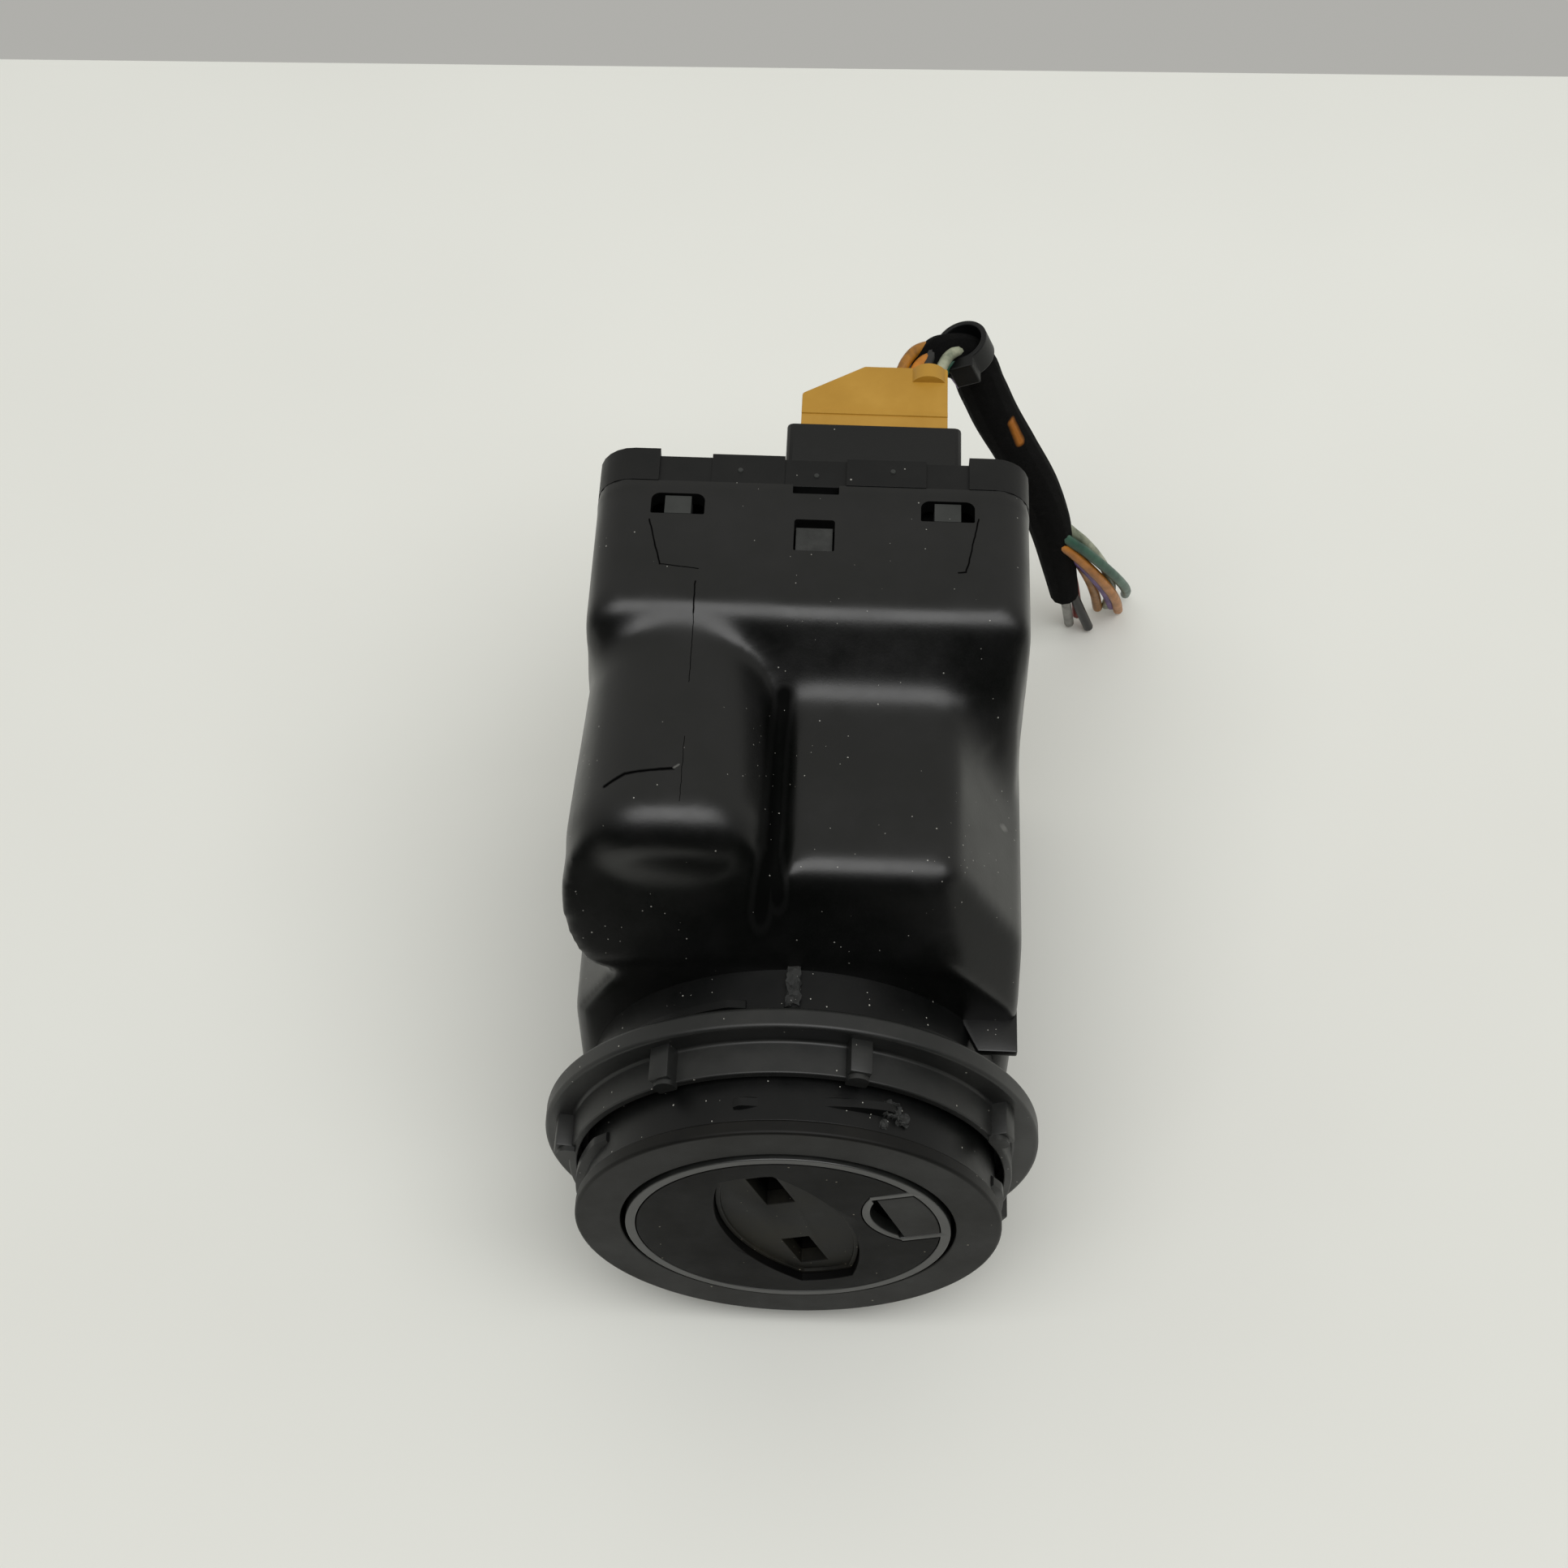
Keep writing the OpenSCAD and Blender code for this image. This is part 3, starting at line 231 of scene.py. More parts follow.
# Edge of the smooth panel on the box's top, the parting line over the bulge, and a scratch across it, in plan
PANEL_LINES = [
    ((-19.6, 70.7, 0), (-17.9, 63.9, 0), 0.16), ((-17.9, 63.9, 0), (-13.3, 63.4, 0), 0.12),
    ((20, 72.3, 0), (18.5, 64.1, 0), 0.16), ((18.5, 64.1, 0), (17.6, 64.0, 0), 0.2),
    ((-13.5, 61.5, 0), (-13.5, 57.5, 0), 0.14), ((-13.5, 57.5, 0), (-13.5, 48, 0), 0.07),
    ((-13.5, 40, 0), (-13.5, 31, 0), 0.06), ((-22.2, 33.7, 0), (-20, 34.8, 0), 0.36),
    ((-20, 34.8, 0), (-14.5, 35.3, 0), 0.3),
]
# Where the scratch ends and a nick on the right slope, in plan
SCRAPES = [
    ((-14.4, 35.4, 0), (-13.9, 35.9, 0), 0.18), ((24, 40, 0), (24.2, 40.3, 0), 0.5),
]
# Painted shade: lines along the valley between the bulge and the deck, in plan, where the shine is dulled to stand
# for the shade in that crease
VALLEY_PAINTED_SHADE = [
    ((-2.9, 45.5, 0), (-3.0, 29, 0), 1.9), ((-3.0, 29, 0), (-4.2, 24.5, 0), 2.2),
    ((-3.0, 29, 0), (-2.3, 25.5, 0), 2.0), ((-2.9, 45.5, 0), (-2.6, 51, 0), 2.0),
]
# Glass filled nylon, moulded in an eroded tool: near black, half matt, with dust that clings to it
HOUSING_NYLON = moulded(
    "glass_filled_nylon_black", "#070807", "#0d0d0d", 0.32, 0.35, "#8d8c86", 0.85, 0.75,
    scores=PANEL_LINES, scratches=SCRAPES, grime_and_shade=VALLEY_PAINTED_SHADE,
)
# The rear cap and the strap are the same nylon from a smoother tool
CAP_NYLON = moulded("glass_filled_nylon_cap", "#0c0d0d", "#151514", 0.42, 0.3, "#8f8e88", 1.1, 0.6, gloss=0.3)
# The barrel's nylon is darker, with more dust in its thread
BARREL_NYLON = moulded("glass_filled_nylon_barrel", "#070808", "#0e0e0d", 0.38, 0.35, "#a3a29b", 0.9, 0.8, gloss=0.3)
# The lock ring's nylon is drier and more rubbed than the housing's
RING_NYLON = moulded("glass_filled_nylon_ring", "#181918", "#262624", 0.46, 0.35, "#98968e", 1.0, 0.5)
# Bezel: satin ABS with a fine grain, filmed with brown dust
BEZEL_ABS = moulded("satin_abs_bezel", "#0d0d0c", "#161512", 0.48, 0.22, "#7d786c", 1.2, 0.25, gloss=0.2)
# Face disc: the same ABS, darker and dulled by fingers
FACE_ABS = moulded("satin_abs_face", "#060606", "#0d0c0b", 0.5, 0.22, "#7d786c", 1.1, 0.3, gloss=0.08)
# Release flap: the disc's ABS, less worn
FLAP_ABS = moulded("satin_abs_flap", "#0d0d0c", "#161512", 0.46, 0.22, "#7d786c", 1.2, 0.2, gloss=0.2)
# Key guide: the same ABS, scraped grey by keys
GUIDE_ABS = moulded("satin_abs_scraped", "#0d0d0b", "#2b2922", 0.52, 0.25, "#8a8474", 0.7, 0.8, gloss=0.15)
# Snap hooks: bare nylon, dulled by dust that the windows hold
HOOK_NYLON = moulded("glass_filled_nylon_hook", "#232523", "#343634", 0.62, 0.3, "#8c8d89", 0.5, 0.9)
# The broken latch, torn burrs and the cut rib: the same nylon with a chalky, torn skin
BROKEN_NYLON = moulded(
    "glass_filled_nylon_broken", "#1a1b1a", "#3c3d3b", 0.75, 0.5, "#a9a8a2", 0.5, 0.9, relief=0.25
)
# Glass filled core and carriers inside
CORE_NYLON = moulded("glass_filled_nylon_core", "#080706", "#0e0c0a", 0.6, 0.4, "#4d4b46", 1.5, 0.1, gloss=0.1)


def light_guide():
    """Smoky polycarbonate light guide: smooth, with a faint glow of light in its edge."""
    material, tree, shader, spot = begin("smoked_polycarbonate")
    clouds = add(tree, "TexNoise", Vector=spot, Scale=per_mm(6), Detail=4.0, Roughness=0.6)
    tree.links.new(
        stops(tree, clouds.outputs["Fac"], (0.3, "#151615"), (0.7, "#20211f")), shader.inputs["Base Color"]
    )
    tree.links.new(spread(tree, clouds.outputs["Fac"], 0.3, 0.7, 0.32, 0.42), shader.inputs["Roughness"])
    shader.inputs["IOR"].default_value = 1.58
    return material


def amber_plastic():
    """Dyed polybutylene of the plug: satin, slightly uneven, a little lighter where it was handled."""
    material, tree, shader, spot = begin("dyed_polybutylene_amber")
    clouds = add(tree, "TexNoise", Vector=spot, Scale=per_mm(7), Detail=5.0, Roughness=0.6)
    pits = add(tree, "TexNoise", Vector=spot, Scale=per_mm(0.3), Detail=3.0, Roughness=0.6)
    tree.links.new(
        stops(tree, clouds.outputs["Fac"], (0.25, "#a87c24"), (0.55, "#b0842b"), (0.8, "#b98d35")),
        shader.inputs["Base Color"],
    )
    tree.links.new(spread(tree, clouds.outputs["Fac"], 0.3, 0.7, 0.42, 0.55), shader.inputs["Roughness"])
    bump = add(tree, "Bump", Strength=0.25, Distance=0.02 * MM, Height=pits.outputs["Fac"])
    tree.links.new(bump.outputs["Normal"], shader.inputs["Normal"])
    return material


# Where an amber wire shows through a gap between two turns of the tape
TAPE_GAP = [((26.0, 105.3, 27.2), (27.5, 105.7, 22.8), 0.9)]


def fleece_tape():
    """Black polyester fleece tape: dull matted fibres, grey lint, and one gap between its turns."""
    material, tree, shader, spot = begin("polyester_fleece_tape")
    fibres = add(tree, "TexNoise", Vector=spot, Scale=per_mm(0.45), Detail=5.0, Roughness=0.75, Distortion=1.2)
    lint = add(tree, "TexNoise", Vector=spot, Scale=per_mm(1.6), Detail=4.0, Roughness=0.7)
    fleece = stops(tree, lint.outputs["Fac"], (0.35, "#030303"), (0.62, "#080808"), (0.8, "#1b1b1a"))
    gap = strokes(tree, spot, TAPE_GAP, keep=(1, 1, 1))
    tree.links.new(blend(tree, gap, fleece, linear("#b9701c")), shader.inputs["Base Color"])
    bump = add(tree, "Bump", Strength=0.9, Distance=0.3 * MM, Height=fibres.outputs["Fac"])
    tree.links.new(bump.outputs["Normal"], shader.inputs["Normal"])
    tree.links.new(spread(tree, gap, 0.0, 1.0, 0.95, 0.4), shader.inputs["Roughness"])
    shader.inputs["Specular IOR Level"].default_value = 0.12
    return material


def wire_skin(name, colour, grimy):
    """Thin PVC insulation of one wire: glossy, with dirt that dulls it in patches."""
    material, tree, shader, spot = begin("pvc_insulation_" + name)
    grime_and_shade = add(tree, "TexNoise", Vector=spot, Scale=per_mm(3), Detail=5.0, Roughness=0.7)
    tree.links.new(
        stops(tree, grime_and_shade.outputs["Fac"], (0.35, colour), (0.75, grimy)), shader.inputs["Base Color"]
    )
    tree.links.new(spread(tree, grime_and_shade.outputs["Fac"], 0.3, 0.7, 0.3, 0.5), shader.inputs["Roughness"])
    return material


def bare_metal(name, dark, light, roughness, line_mm):
    """Rolled or drawn metal: fine lines along the piece, brighter and duller by patches."""
    material, tree, shader, spot = begin(name)
    along = add(tree, "Mapping", Vector=spot, Scale=(1.0, 0.08, 1.0))
    lines = add(tree, "TexNoise", Vector=along.outputs["Vector"], Scale=per_mm(line_mm), Detail=3.0, Roughness=0.6)
    tree.links.new(stops(tree, lines.outputs["Fac"], (0.3, dark), (0.7, light)), shader.inputs["Base Color"])
    tree.links.new(
        spread(tree, lines.outputs["Fac"], 0.3, 0.7, roughness - 0.08, roughness + 0.08), shader.inputs["Roughness"]
    )
    shader.inputs["Metallic"].default_value = 1.0
    return material


def board_lacquer():
    """Green solder lacquer over woven glass board: the weave shows faintly through the gloss."""
    material, tree, shader, spot = begin("lacquered_glass_board")
    weave = add(tree, "TexWave", {"wave_type": "BANDS"}, Vector=spot, Scale=per_mm(3.2), Distortion=1.0)
    tree.links.new(
        stops(tree, weave.outputs["Fac"], (0.2, "#17402a"), (0.8, "#215438")), shader.inputs["Base Color"]
    )
    tree.links.new(spread(tree, weave.outputs["Fac"], 0.0, 1.0, 0.28, 0.36), shader.inputs["Roughness"])
    return material


SMOKED_GUIDE = light_guide()
AMBER_PBT = amber_plastic()
FLEECE = fleece_tape()
# Spring and can steel, drawn and left bare
DRAWN_STEEL = bare_metal("drawn_spring_steel", "#8c8e90", "#b9bbbd", 0.32, 0.3)
# Contact copper, rolled and slightly tarnished
ROLLED_COPPER = bare_metal("rolled_contact_copper", "#9c5f35", "#c98a55", 0.34, 0.3)
BOARD_LACQUER = board_lacquer()

NODE_FINISHES = {
    CORE_NYLON: ["lock_core", "driver", "contact_carrier", "contact_base", "antenna_bobbin", "solenoid_bobbin"],
    DRAWN_STEEL: [
        "return_spring", "detent_spring", "solenoid_can", "plunger", "plunger_spring", "button_spring"
    ],
    ROLLED_COPPER: ["contact_wipers", "contact_tracks", "antenna_coil", "solenoid_coil", "terminal_pins"],
    BOARD_LACQUER: ["circuit_board"],
    CAP_NYLON: ["control_chip", "pin_header"],
    AMBER_PBT: ["release_button"],
}
for finish, names in NODE_FINISHES.items():
    for name in names:
        nodes[name].data.materials.clear()
        nodes[name].data.materials.append(finish)


# Mesh tools

def close_up(bm):
    """Merges doubles and turns every face outwards."""
    bmesh.ops.remove_doubles(bm, verts=bm.verts, dist=1e-5)
    bmesh.ops.recalc_face_normals(bm, faces=bm.faces)


def piece(name, bm, finishes, body, replaced=(), crease=38):
    """Makes the finished object of a bmesh, and hangs it on its body."""
    bmesh.ops.scale(bm, verts=bm.verts, vec=(MM, MM, MM))
    mesh = bpy.data.meshes.new(name)
    bm.to_mesh(mesh)
    bm.free()
    for finish in finishes:
        mesh.materials.append(finish)
    mesh.shade_smooth()
    mesh.set_sharp_from_angle(angle=math.radians(crease))
    made = bpy.data.objects.new(name, mesh)
    bpy.context.scene.collection.objects.link(made)
    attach(made, body)
    if replaced:
        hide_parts(*replaced)
    return made


def corner_arc(before, at, after, radius, steps):
    """Points of a round corner at a polygon's vertex, with one close point on each side that keeps the flats flat."""
    here = Vector(at)
    to_before = (Vector(before) - here).normalized()
    to_after = (Vector(after) - here).normalized()
    half = to_before.angle(to_after) / 2
    middle = here + (to_before + to_after).normalized() * radius / math.sin(half)
    reach = radius / math.tan(half)
    first = here + to_before * reach - middle
    last = here + to_after * reach - middle
    points = [here + to_before * (reach + 0.04)]
    for i in range(steps + 1):
        share = i / steps
        points.append(middle + (first * (1 - share) + last * share).normalized() * radius)
    points.append(here + to_after * (reach + 0.04))
    return [tuple(p) for p in points]


def rounded(corners, steps=6):
    """An outline from corners (u, v, radius)."""
    points = []
    count = len(corners)
    for i, (u, v, radius) in enumerate(corners):
        if radius == 0:
            points.append((u, v))
            continue
        before = corners[i - 1][:2]
        after = corners[(i + 1) % count][:2]
        points.extend(corner_arc(before, (u, v), after, radius, steps))
    return points


def prism(bm, outline, axis, start, end):
    """A closed solid of an outline pulled along an axis."""
    place = {
        "X": lambda u, v, w: (w, u, v),
        "Y": lambda u, v, w: (u, w, v),
        "Z": lambda u, v, w: (u, v, w),
    }[axis]
    foot = bm.faces.new([bm.verts.new(place(u, v, start)) for u, v in outline])
    pulled = bmesh.ops.extrude_face_region(bm, geom=[foot])["geom"]
    top = [g for g in pulled if isinstance(g, bmesh.types.BMVert)]
    bmesh.ops.translate(bm, verts=top, vec=place(0, 0, end - start))


def block(bm, low, high, soft=0.0):
    """A box between two corners, with soft edges."""
    size = Vector(high) - Vector(low)
    middle = (Vector(high) + Vector(low)) / 2
    matrix = Matrix.Translation(middle) @ Matrix.Diagonal((*size, 1))
    verts = bmesh.ops.create_cube(bm, size=1, matrix=matrix)["verts"]
    if soft:
        edges = list({e for v in verts for e in v.link_edges})
        bmesh.ops.bevel(
            bm, geom=edges, offset=soft, segments=2, profile=0.5, affect="EDGES", material=-1, clamp_overlap=True
        )


def lathe(bm, profile, steps=144, sweep=360, start=0):
    """A closed profile (radius, y) turned about the barrel axis; start and sweep run clockwise from the top."""
    ring = [bm.verts.new((0, y, r)) for r, y in profile]
    edges = [bm.edges.new((ring[i - 1], ring[i])) for i in range(len(ring))]
    if start:
        bmesh.ops.rotate(bm, verts=ring, matrix=Matrix.Rotation(math.radians(start), 3, "Y"))
    spun = bmesh.ops.spin(
        bm, geom=ring + edges, axis=(0, 1, 0), cent=(0, 0, 0), angle=math.radians(sweep), steps=steps,
        use_merge=sweep == 360,
    )
    if sweep != 360:
        last = [g for g in spun["geom_last"] if isinstance(g, bmesh.types.BMEdge)]
        bmesh.ops.holes_fill(bm, edges=edges + last)


def cut_off(bm, point, normal):
    """Cuts away what lies in front of a plane, and closes the cut."""
    geom = list(bm.verts) + list(bm.edges) + list(bm.faces)
    cut = bmesh.ops.bisect_plane(bm, geom=geom, dist=1e-5, plane_co=point, plane_no=normal, clear_outer=True)
    rim = [g for g in cut["geom_cut"] if isinstance(g, bmesh.types.BMEdge)]
    if rim:
        bmesh.ops.edgenet_fill(bm, edges=rim)


def round_off(bm, edge, top_lean, front_lean, radius, cuts=6):
    """Rounds an edge along X at (y, z), between two faces that lean from level towards the front."""
    half = math.radians(front_lean - top_lean) / 2
    middle_lean = math.radians(front_lean + top_lean) / 2
    outward = Vector((0, -math.sin(middle_lean), math.cos(middle_lean)))
    middle = Vector((0, *edge)) - outward * radius / math.cos(half)
    for i in range(1, cuts + 1):
        lean = math.radians(top_lean + (front_lean - top_lean) * i / (cuts + 1))
        normal = Vector((0, -math.sin(lean), math.cos(lean)))
        cut_off(bm, middle + normal * radius, normal)


def join_in(bm, other):
    """Adds another bmesh's shape to this one."""
    holder = bpy.data.meshes.new("holder")
    other.to_mesh(holder)
    other.free()
    bm.from_mesh(holder)
    bpy.data.meshes.remove(holder)


def shaped(bm, modifiers):
    """The bmesh that a list of (kind, settings) modifiers makes of this one."""
    mesh = bpy.data.meshes.new("shaping")
    bm.to_mesh(mesh)
    bm.free()
    made = bpy.data.objects.new("shaping", mesh)
    bpy.context.scene.collection.objects.link(made)
    for kind, settings in modifiers:
        modifier = made.modifiers.new(kind, kind)
        for key, value in settings.items():
            setattr(modifier, key, value)
    held = made.evaluated_get(bpy.context.evaluated_depsgraph_get())
    result = bmesh.new()
    result.from_mesh(held.to_mesh())
    held.to_mesh_clear()
    bpy.data.objects.remove(made)
    return result


def carved(bm, cutter):
    """The bmesh less a cutter's solid."""
    mesh = bpy.data.meshes.new("cutter")
    cutter.to_mesh(mesh)
    cutter.free()
    tool = bpy.data.objects.new("cutter", mesh)
    bpy.context.scene.collection.objects.link(tool)
    result = shaped(bm, [("BOOLEAN", {"operation": "DIFFERENCE", "object": tool, "solver": "EXACT"})])
    bpy.data.objects.remove(tool)
    return result


def softened(node, width, sharp=30):
    """A copy of a CAD node with its sharp edges rounded, in millimetres."""
    bm = bmesh.new()
    bm.from_mesh(nodes[node].data)
    bmesh.ops.scale(bm, verts=bm.verts, vec=(1 / MM,) * 3)
    bmesh.ops.remove_doubles(bm, verts=bm.verts, dist=2e-3)
    bmesh.ops.dissolve_limit(bm, angle_limit=math.radians(1.5), verts=bm.verts, edges=bm.edges)
    edges = [e for e in bm.edges if e.is_manifold and e.calc_face_angle(0) > math.radians(sharp)]
    bmesh.ops.bevel(
        bm, geom=edges, offset=width, segments=2, profile=0.5, affect="EDGES", material=-1, clamp_overlap=True
    )
    return bm


# Housing

housing_high = box_mm("housing")[1]
HALF_W = housing_high.x
BOX_H = housing_high.z
SEAM_Y = housing_high.y
SHOULDER_Y = 21.3
DECK_H = 38
DECK_FRONT_Y = 27
DECK_LEFT = -1.5
DECK_RIGHT = 17.4
HIP_H = 24
VALLEY_H = 34
LEDGE_H = 13
WAIST_X = 21
WAIST_RISE = 10.5
EDGE_R = 4.5
BULGE_R = 11.6
BULGE_FLARE = 0.9
BULGE_SQUARE = 2.35
BULGE_X = BULGE_R - HALF_W
BULGE_Z = BOX_H - 1.5 - BULGE_R
BULGE_FRONT_Y = 26.5
BOX_FRONT_Y = 57.5
BOX_LEAN = 12
WALL_LEAN = 28
RAMP_LEAN = 41
RAMP_STEP = 0.5
RAMP_LEFT = -6
VALLEY_BACK = 46
DECK_FILLET = 6
SLOPE_FOOT_Z = 25.5
SLOPE = math.degrees(math.atan2(DECK_H - SLOPE_FOOT_Z, DECK_FRONT_Y - SHOULDER_Y))
WALL = 2
BEARING_ROOM_R = 22
VOXEL = 0.52
WALL_STATIONS = 56
# Rounds of smoothing: the whole skin, its hollow corners, the wide fillets, and the skin once more
SKIN_ROUNDS = 8
HOLLOW_ROUNDS = 8
FILLET_ROUNDS = 45
LAST_ROUNDS = 6
HOLLOW_DEPTH = 0.012
HOLLOW_GROW = 5
VALLEY_HALF_W = 4

# The way that the flat at the deck's right front corner faces
CORNER_FLAT = Vector((0.55, -0.70, 0.455))


def slope_normal():
    """The way that the slope above the barrel faces."""
    lean = math.radians(SLOPE)
    return Vector((0, -math.sin(lean), math.cos(lean)))


LOWER_OUTLINE = rounded([
    (-HALF_W, base_z, 3), (HALF_W, base_z, 3), (HALF_W, HIP_H, EDGE_R), (DECK_RIGHT, DECK_H, EDGE_R),
    (DECK_LEFT, DECK_H, 3), (DECK_LEFT - 1.5, VALLEY_H, 0.8), (-WAIST_X, VALLEY_H, 0),
    (-WAIST_X, LEDGE_H + WAIST_RISE, 2), (-HALF_W, LEDGE_H, 4),
])
BOX_OUTLINE = rounded([
    (-HALF_W, base_z, 3), (HALF_W, base_z, 3), (HALF_W, BOX_H, EDGE_R), (-HALF_W, BOX_H, EDGE_R)
])


def top_of(outline, x):
    """Height of an outline's upper side at x."""
    heights = []
    for (x0, z0), (x1, z1) in zip(outline, outline[1:] + outline[:1]):
        if x0 != x1 and min(x0, x1) <= x <= max(x0, x1):
            heights.append(z0 + (z1 - z0) * (x - x0) / (x1 - x0))
    return max(heights)


def lower_body():
    """Lower box with the deck, cut by the slope above the barrel and the flat at the deck's right corner."""
    bm = bmesh.new()
    prism(bm, LOWER_OUTLINE, "Y", SHOULDER_Y, SEAM_Y)
    close_up(bm)
    cut_off(bm, (0, DECK_FRONT_Y, DECK_H), slope_normal())
    round_off(bm, (DECK_FRONT_Y, DECK_H), 0, SLOPE, EDGE_R)
    round_off(bm, (SHOULDER_Y, SLOPE_FOOT_Z), SLOPE, 90, 6, cuts=3)
    cut_off(bm, (DECK_RIGHT + 1.3, DECK_FRONT_Y + 1, DECK_H - 2), CORNER_FLAT)
    return bm


def rear_box():
    """Tall rear box with its leaning front wall."""
    bm = bmesh.new()
    prism(bm, BOX_OUTLINE, "Y", SHOULDER_Y + 10, SEAM_Y)
    close_up(bm)
    lean = math.radians(90 - BOX_LEAN)
    cut_off(bm, (0, BOX_FRONT_Y, BOX_H), (0, -math.sin(lean), math.cos(lean)))
    round_off(bm, (BOX_FRONT_Y, BOX_H), 0, 90 - BOX_LEAN, EDGE_R)
    return bm


def bulge():
    """Half-round bulge over the key-lock magnet, slightly flat on top and a little wider at its nose."""
    bm = bmesh.new()
    back = BOX_FRONT_Y + EDGE_R
    nose = rounded([
        (0, BULGE_FRONT_Y, 0), (BULGE_R + BULGE_FLARE, BULGE_FRONT_Y, EDGE_R + 1), (BULGE_R - BULGE_FLARE, back, 0),
        (0, back, 0),
    ], 8)
    lathe(bm, nose, steps=72)
    close_up(bm)
    for v in bm.verts:
        away = math.hypot(v.co.x, v.co.z)
        if v.co.z > 0 and away > 0:
            reach = (abs(v.co.x / away) ** BULGE_SQUARE + (v.co.z / away) ** BULGE_SQUARE) ** (-1 / BULGE_SQUARE)
            v.co.x *= reach
            v.co.z *= reach
    bmesh.ops.translate(bm, verts=bm.verts, vec=(BULGE_X, 0, BULGE_Z))
    return bm


def bulge_foot():
    """The bulge's foot, which runs down the slope to the shoulder."""
    bm = bmesh.new()
    lathe(bm, [
        (0, SHOULDER_Y), (BULGE_R + BULGE_FLARE, SHOULDER_Y), (BULGE_R - BULGE_FLARE, BOX_FRONT_Y), (0, BOX_FRONT_Y)
    ], steps=72)
    close_up(bm)
    bmesh.ops.translate(bm, verts=bm.verts, vec=(BULGE_X, 0, BULGE_Z))
    cut_off(bm, (0, DECK_FRONT_Y, DECK_H), slope_normal())
    return bm


def held(share):
    """A share, held between 0 and 1."""
    return max(0.0, min(1.0, share))


def front_wall():
    """Front wall of the rear box: it leans most over the deck, and a hollow fillet runs along its foot."""
    bm = bmesh.new()
    rings = []
    for i in range(WALL_STATIONS + 1):
        x = -HALF_W + 1 + (2 * HALF_W - 1.6) * i / WALL_STATIONS
        over_deck = held((x - RAMP_LEFT) / 5) * held((HALF_W - x) / (HALF_W - DECK_RIGHT + 3))
        lean = WALL_LEAN + (RAMP_LEAN - WALL_LEAN) * over_deck
        top = top_of(BOX_OUTLINE, x)
        floor = top_of(LOWER_OUTLINE, x)
        if x < DECK_LEFT:
            floor = max(VALLEY_H, floor)
        front = BOX_FRONT_Y + RAMP_STEP * over_deck
        foot = front - (top - floor) * math.tan(math.radians(lean))
        start = foot - DECK_FILLET * math.tan(math.radians((90 - lean) / 2)) - 0.3
        outline = rounded([
            (start, floor - WALL, 0), (SEAM_Y - WALL, floor - WALL, 0), (SEAM_Y - WALL, top, 0),
            (front, top, EDGE_R), (foot, floor, DECK_FILLET), (start, floor, 0),
        ])
        rings.append([bm.verts.new((x, y, z)) for y, z in outline])
    for near, far in zip(rings, rings[1:]):
        for j in range(len(near)):
            bm.faces.new((near[j - 1], near[j], far[j], far[j - 1]))
    bm.faces.new(rings[0])
    bm.faces.new(rings[-1])
    close_up(bm)
    return bm


def hollow_verts(bm, depth, grow):
    """Vertices in the hollow corners, and those within a few steps of them."""
    found = set()
    for v in bm.verts:
        ring = [e.other_vert(v).co for e in v.link_edges]
        pull = sum(ring, Vector()) / len(ring) - v.co
        if pull.dot(v.normal) > depth:
            found.add(v)
    for _ in range(grow):
        found |= {e.other_vert(v) for v in found for e in v.link_edges}
    return list(found)


def ease(bm, verts, rounds):
    """Smooths some vertices for a number of rounds."""
    for _ in range(rounds):
        bmesh.ops.smooth_vert(bm, verts=verts, factor=0.5, use_axis_x=True, use_axis_y=True, use_axis_z=True)


def moulding():
    """The housing's outside: its blocks melted into one skin with soft edges and hollow fillets."""
    bm = lower_body()
    for part in (rear_box(), bulge(), bulge_foot(), front_wall()):
        join_in(bm, part)
    bm = shaped(bm, [("REMESH", {"mode": "VOXEL", "voxel_size": VOXEL})])
    upper = [v for v in bm.verts if v.co.y < SEAM_Y - 1.5 and v.co.z > base_z + 2]
    ease(bm, upper, SKIN_ROUNDS)
    corners = hollow_verts(bm, HOLLOW_DEPTH, HOLLOW_GROW)
    hollows = [v for v in corners if v.co.y < SEAM_Y - 3 and v.co.z > base_z + 4]
    ease(bm, hollows, HOLLOW_ROUNDS)
    fillets = [v for v in hollows if v.co.y > VALLEY_BACK or abs(v.co.x - DECK_LEFT) > VALLEY_HALF_W]
    ease(bm, fillets, FILLET_ROUNDS)
    ease(bm, upper, LAST_ROUNDS)
    for v in bm.verts:
        if v.co.y > SEAM_Y - 0.6:
            v.co.y = SEAM_Y
    return bm


HOOK_X = 16.3
HOOK_ROOM_W = 6.5
HOOK_ROOM = (71.75, 74.95)
LATCH_X = 0.3
LATCH_ROOM_W = 4.9
LATCH_ROOM = (66.65, 71.45)
NOTCH_W = 5.6


def windows():
    """Snap windows and the notch at the seam, as one cutter."""
    bm = bmesh.new()
    for middle, width, (front, back), front_r, back_r in (
        (-HOOK_X, HOOK_ROOM_W, HOOK_ROOM, 0.2, 1.1), (HOOK_X, HOOK_ROOM_W, HOOK_ROOM, 0.2, 1.1),
        (LATCH_X, LATCH_ROOM_W, LATCH_ROOM, 0.2, 0.4), (LATCH_X, NOTCH_W, (SEAM_Y - 1.5, SEAM_Y + 2), 0.15, 0.15),
    ):
        left = middle - width / 2
        right = middle + width / 2
        prism(bm, rounded([
            (left, front, front_r), (right, front, front_r), (right, back, back_r), (left, back, back_r)
        ]), "Z", BOX_H - 2 * WALL, BOX_H + 2)
    close_up(bm)
    return bm


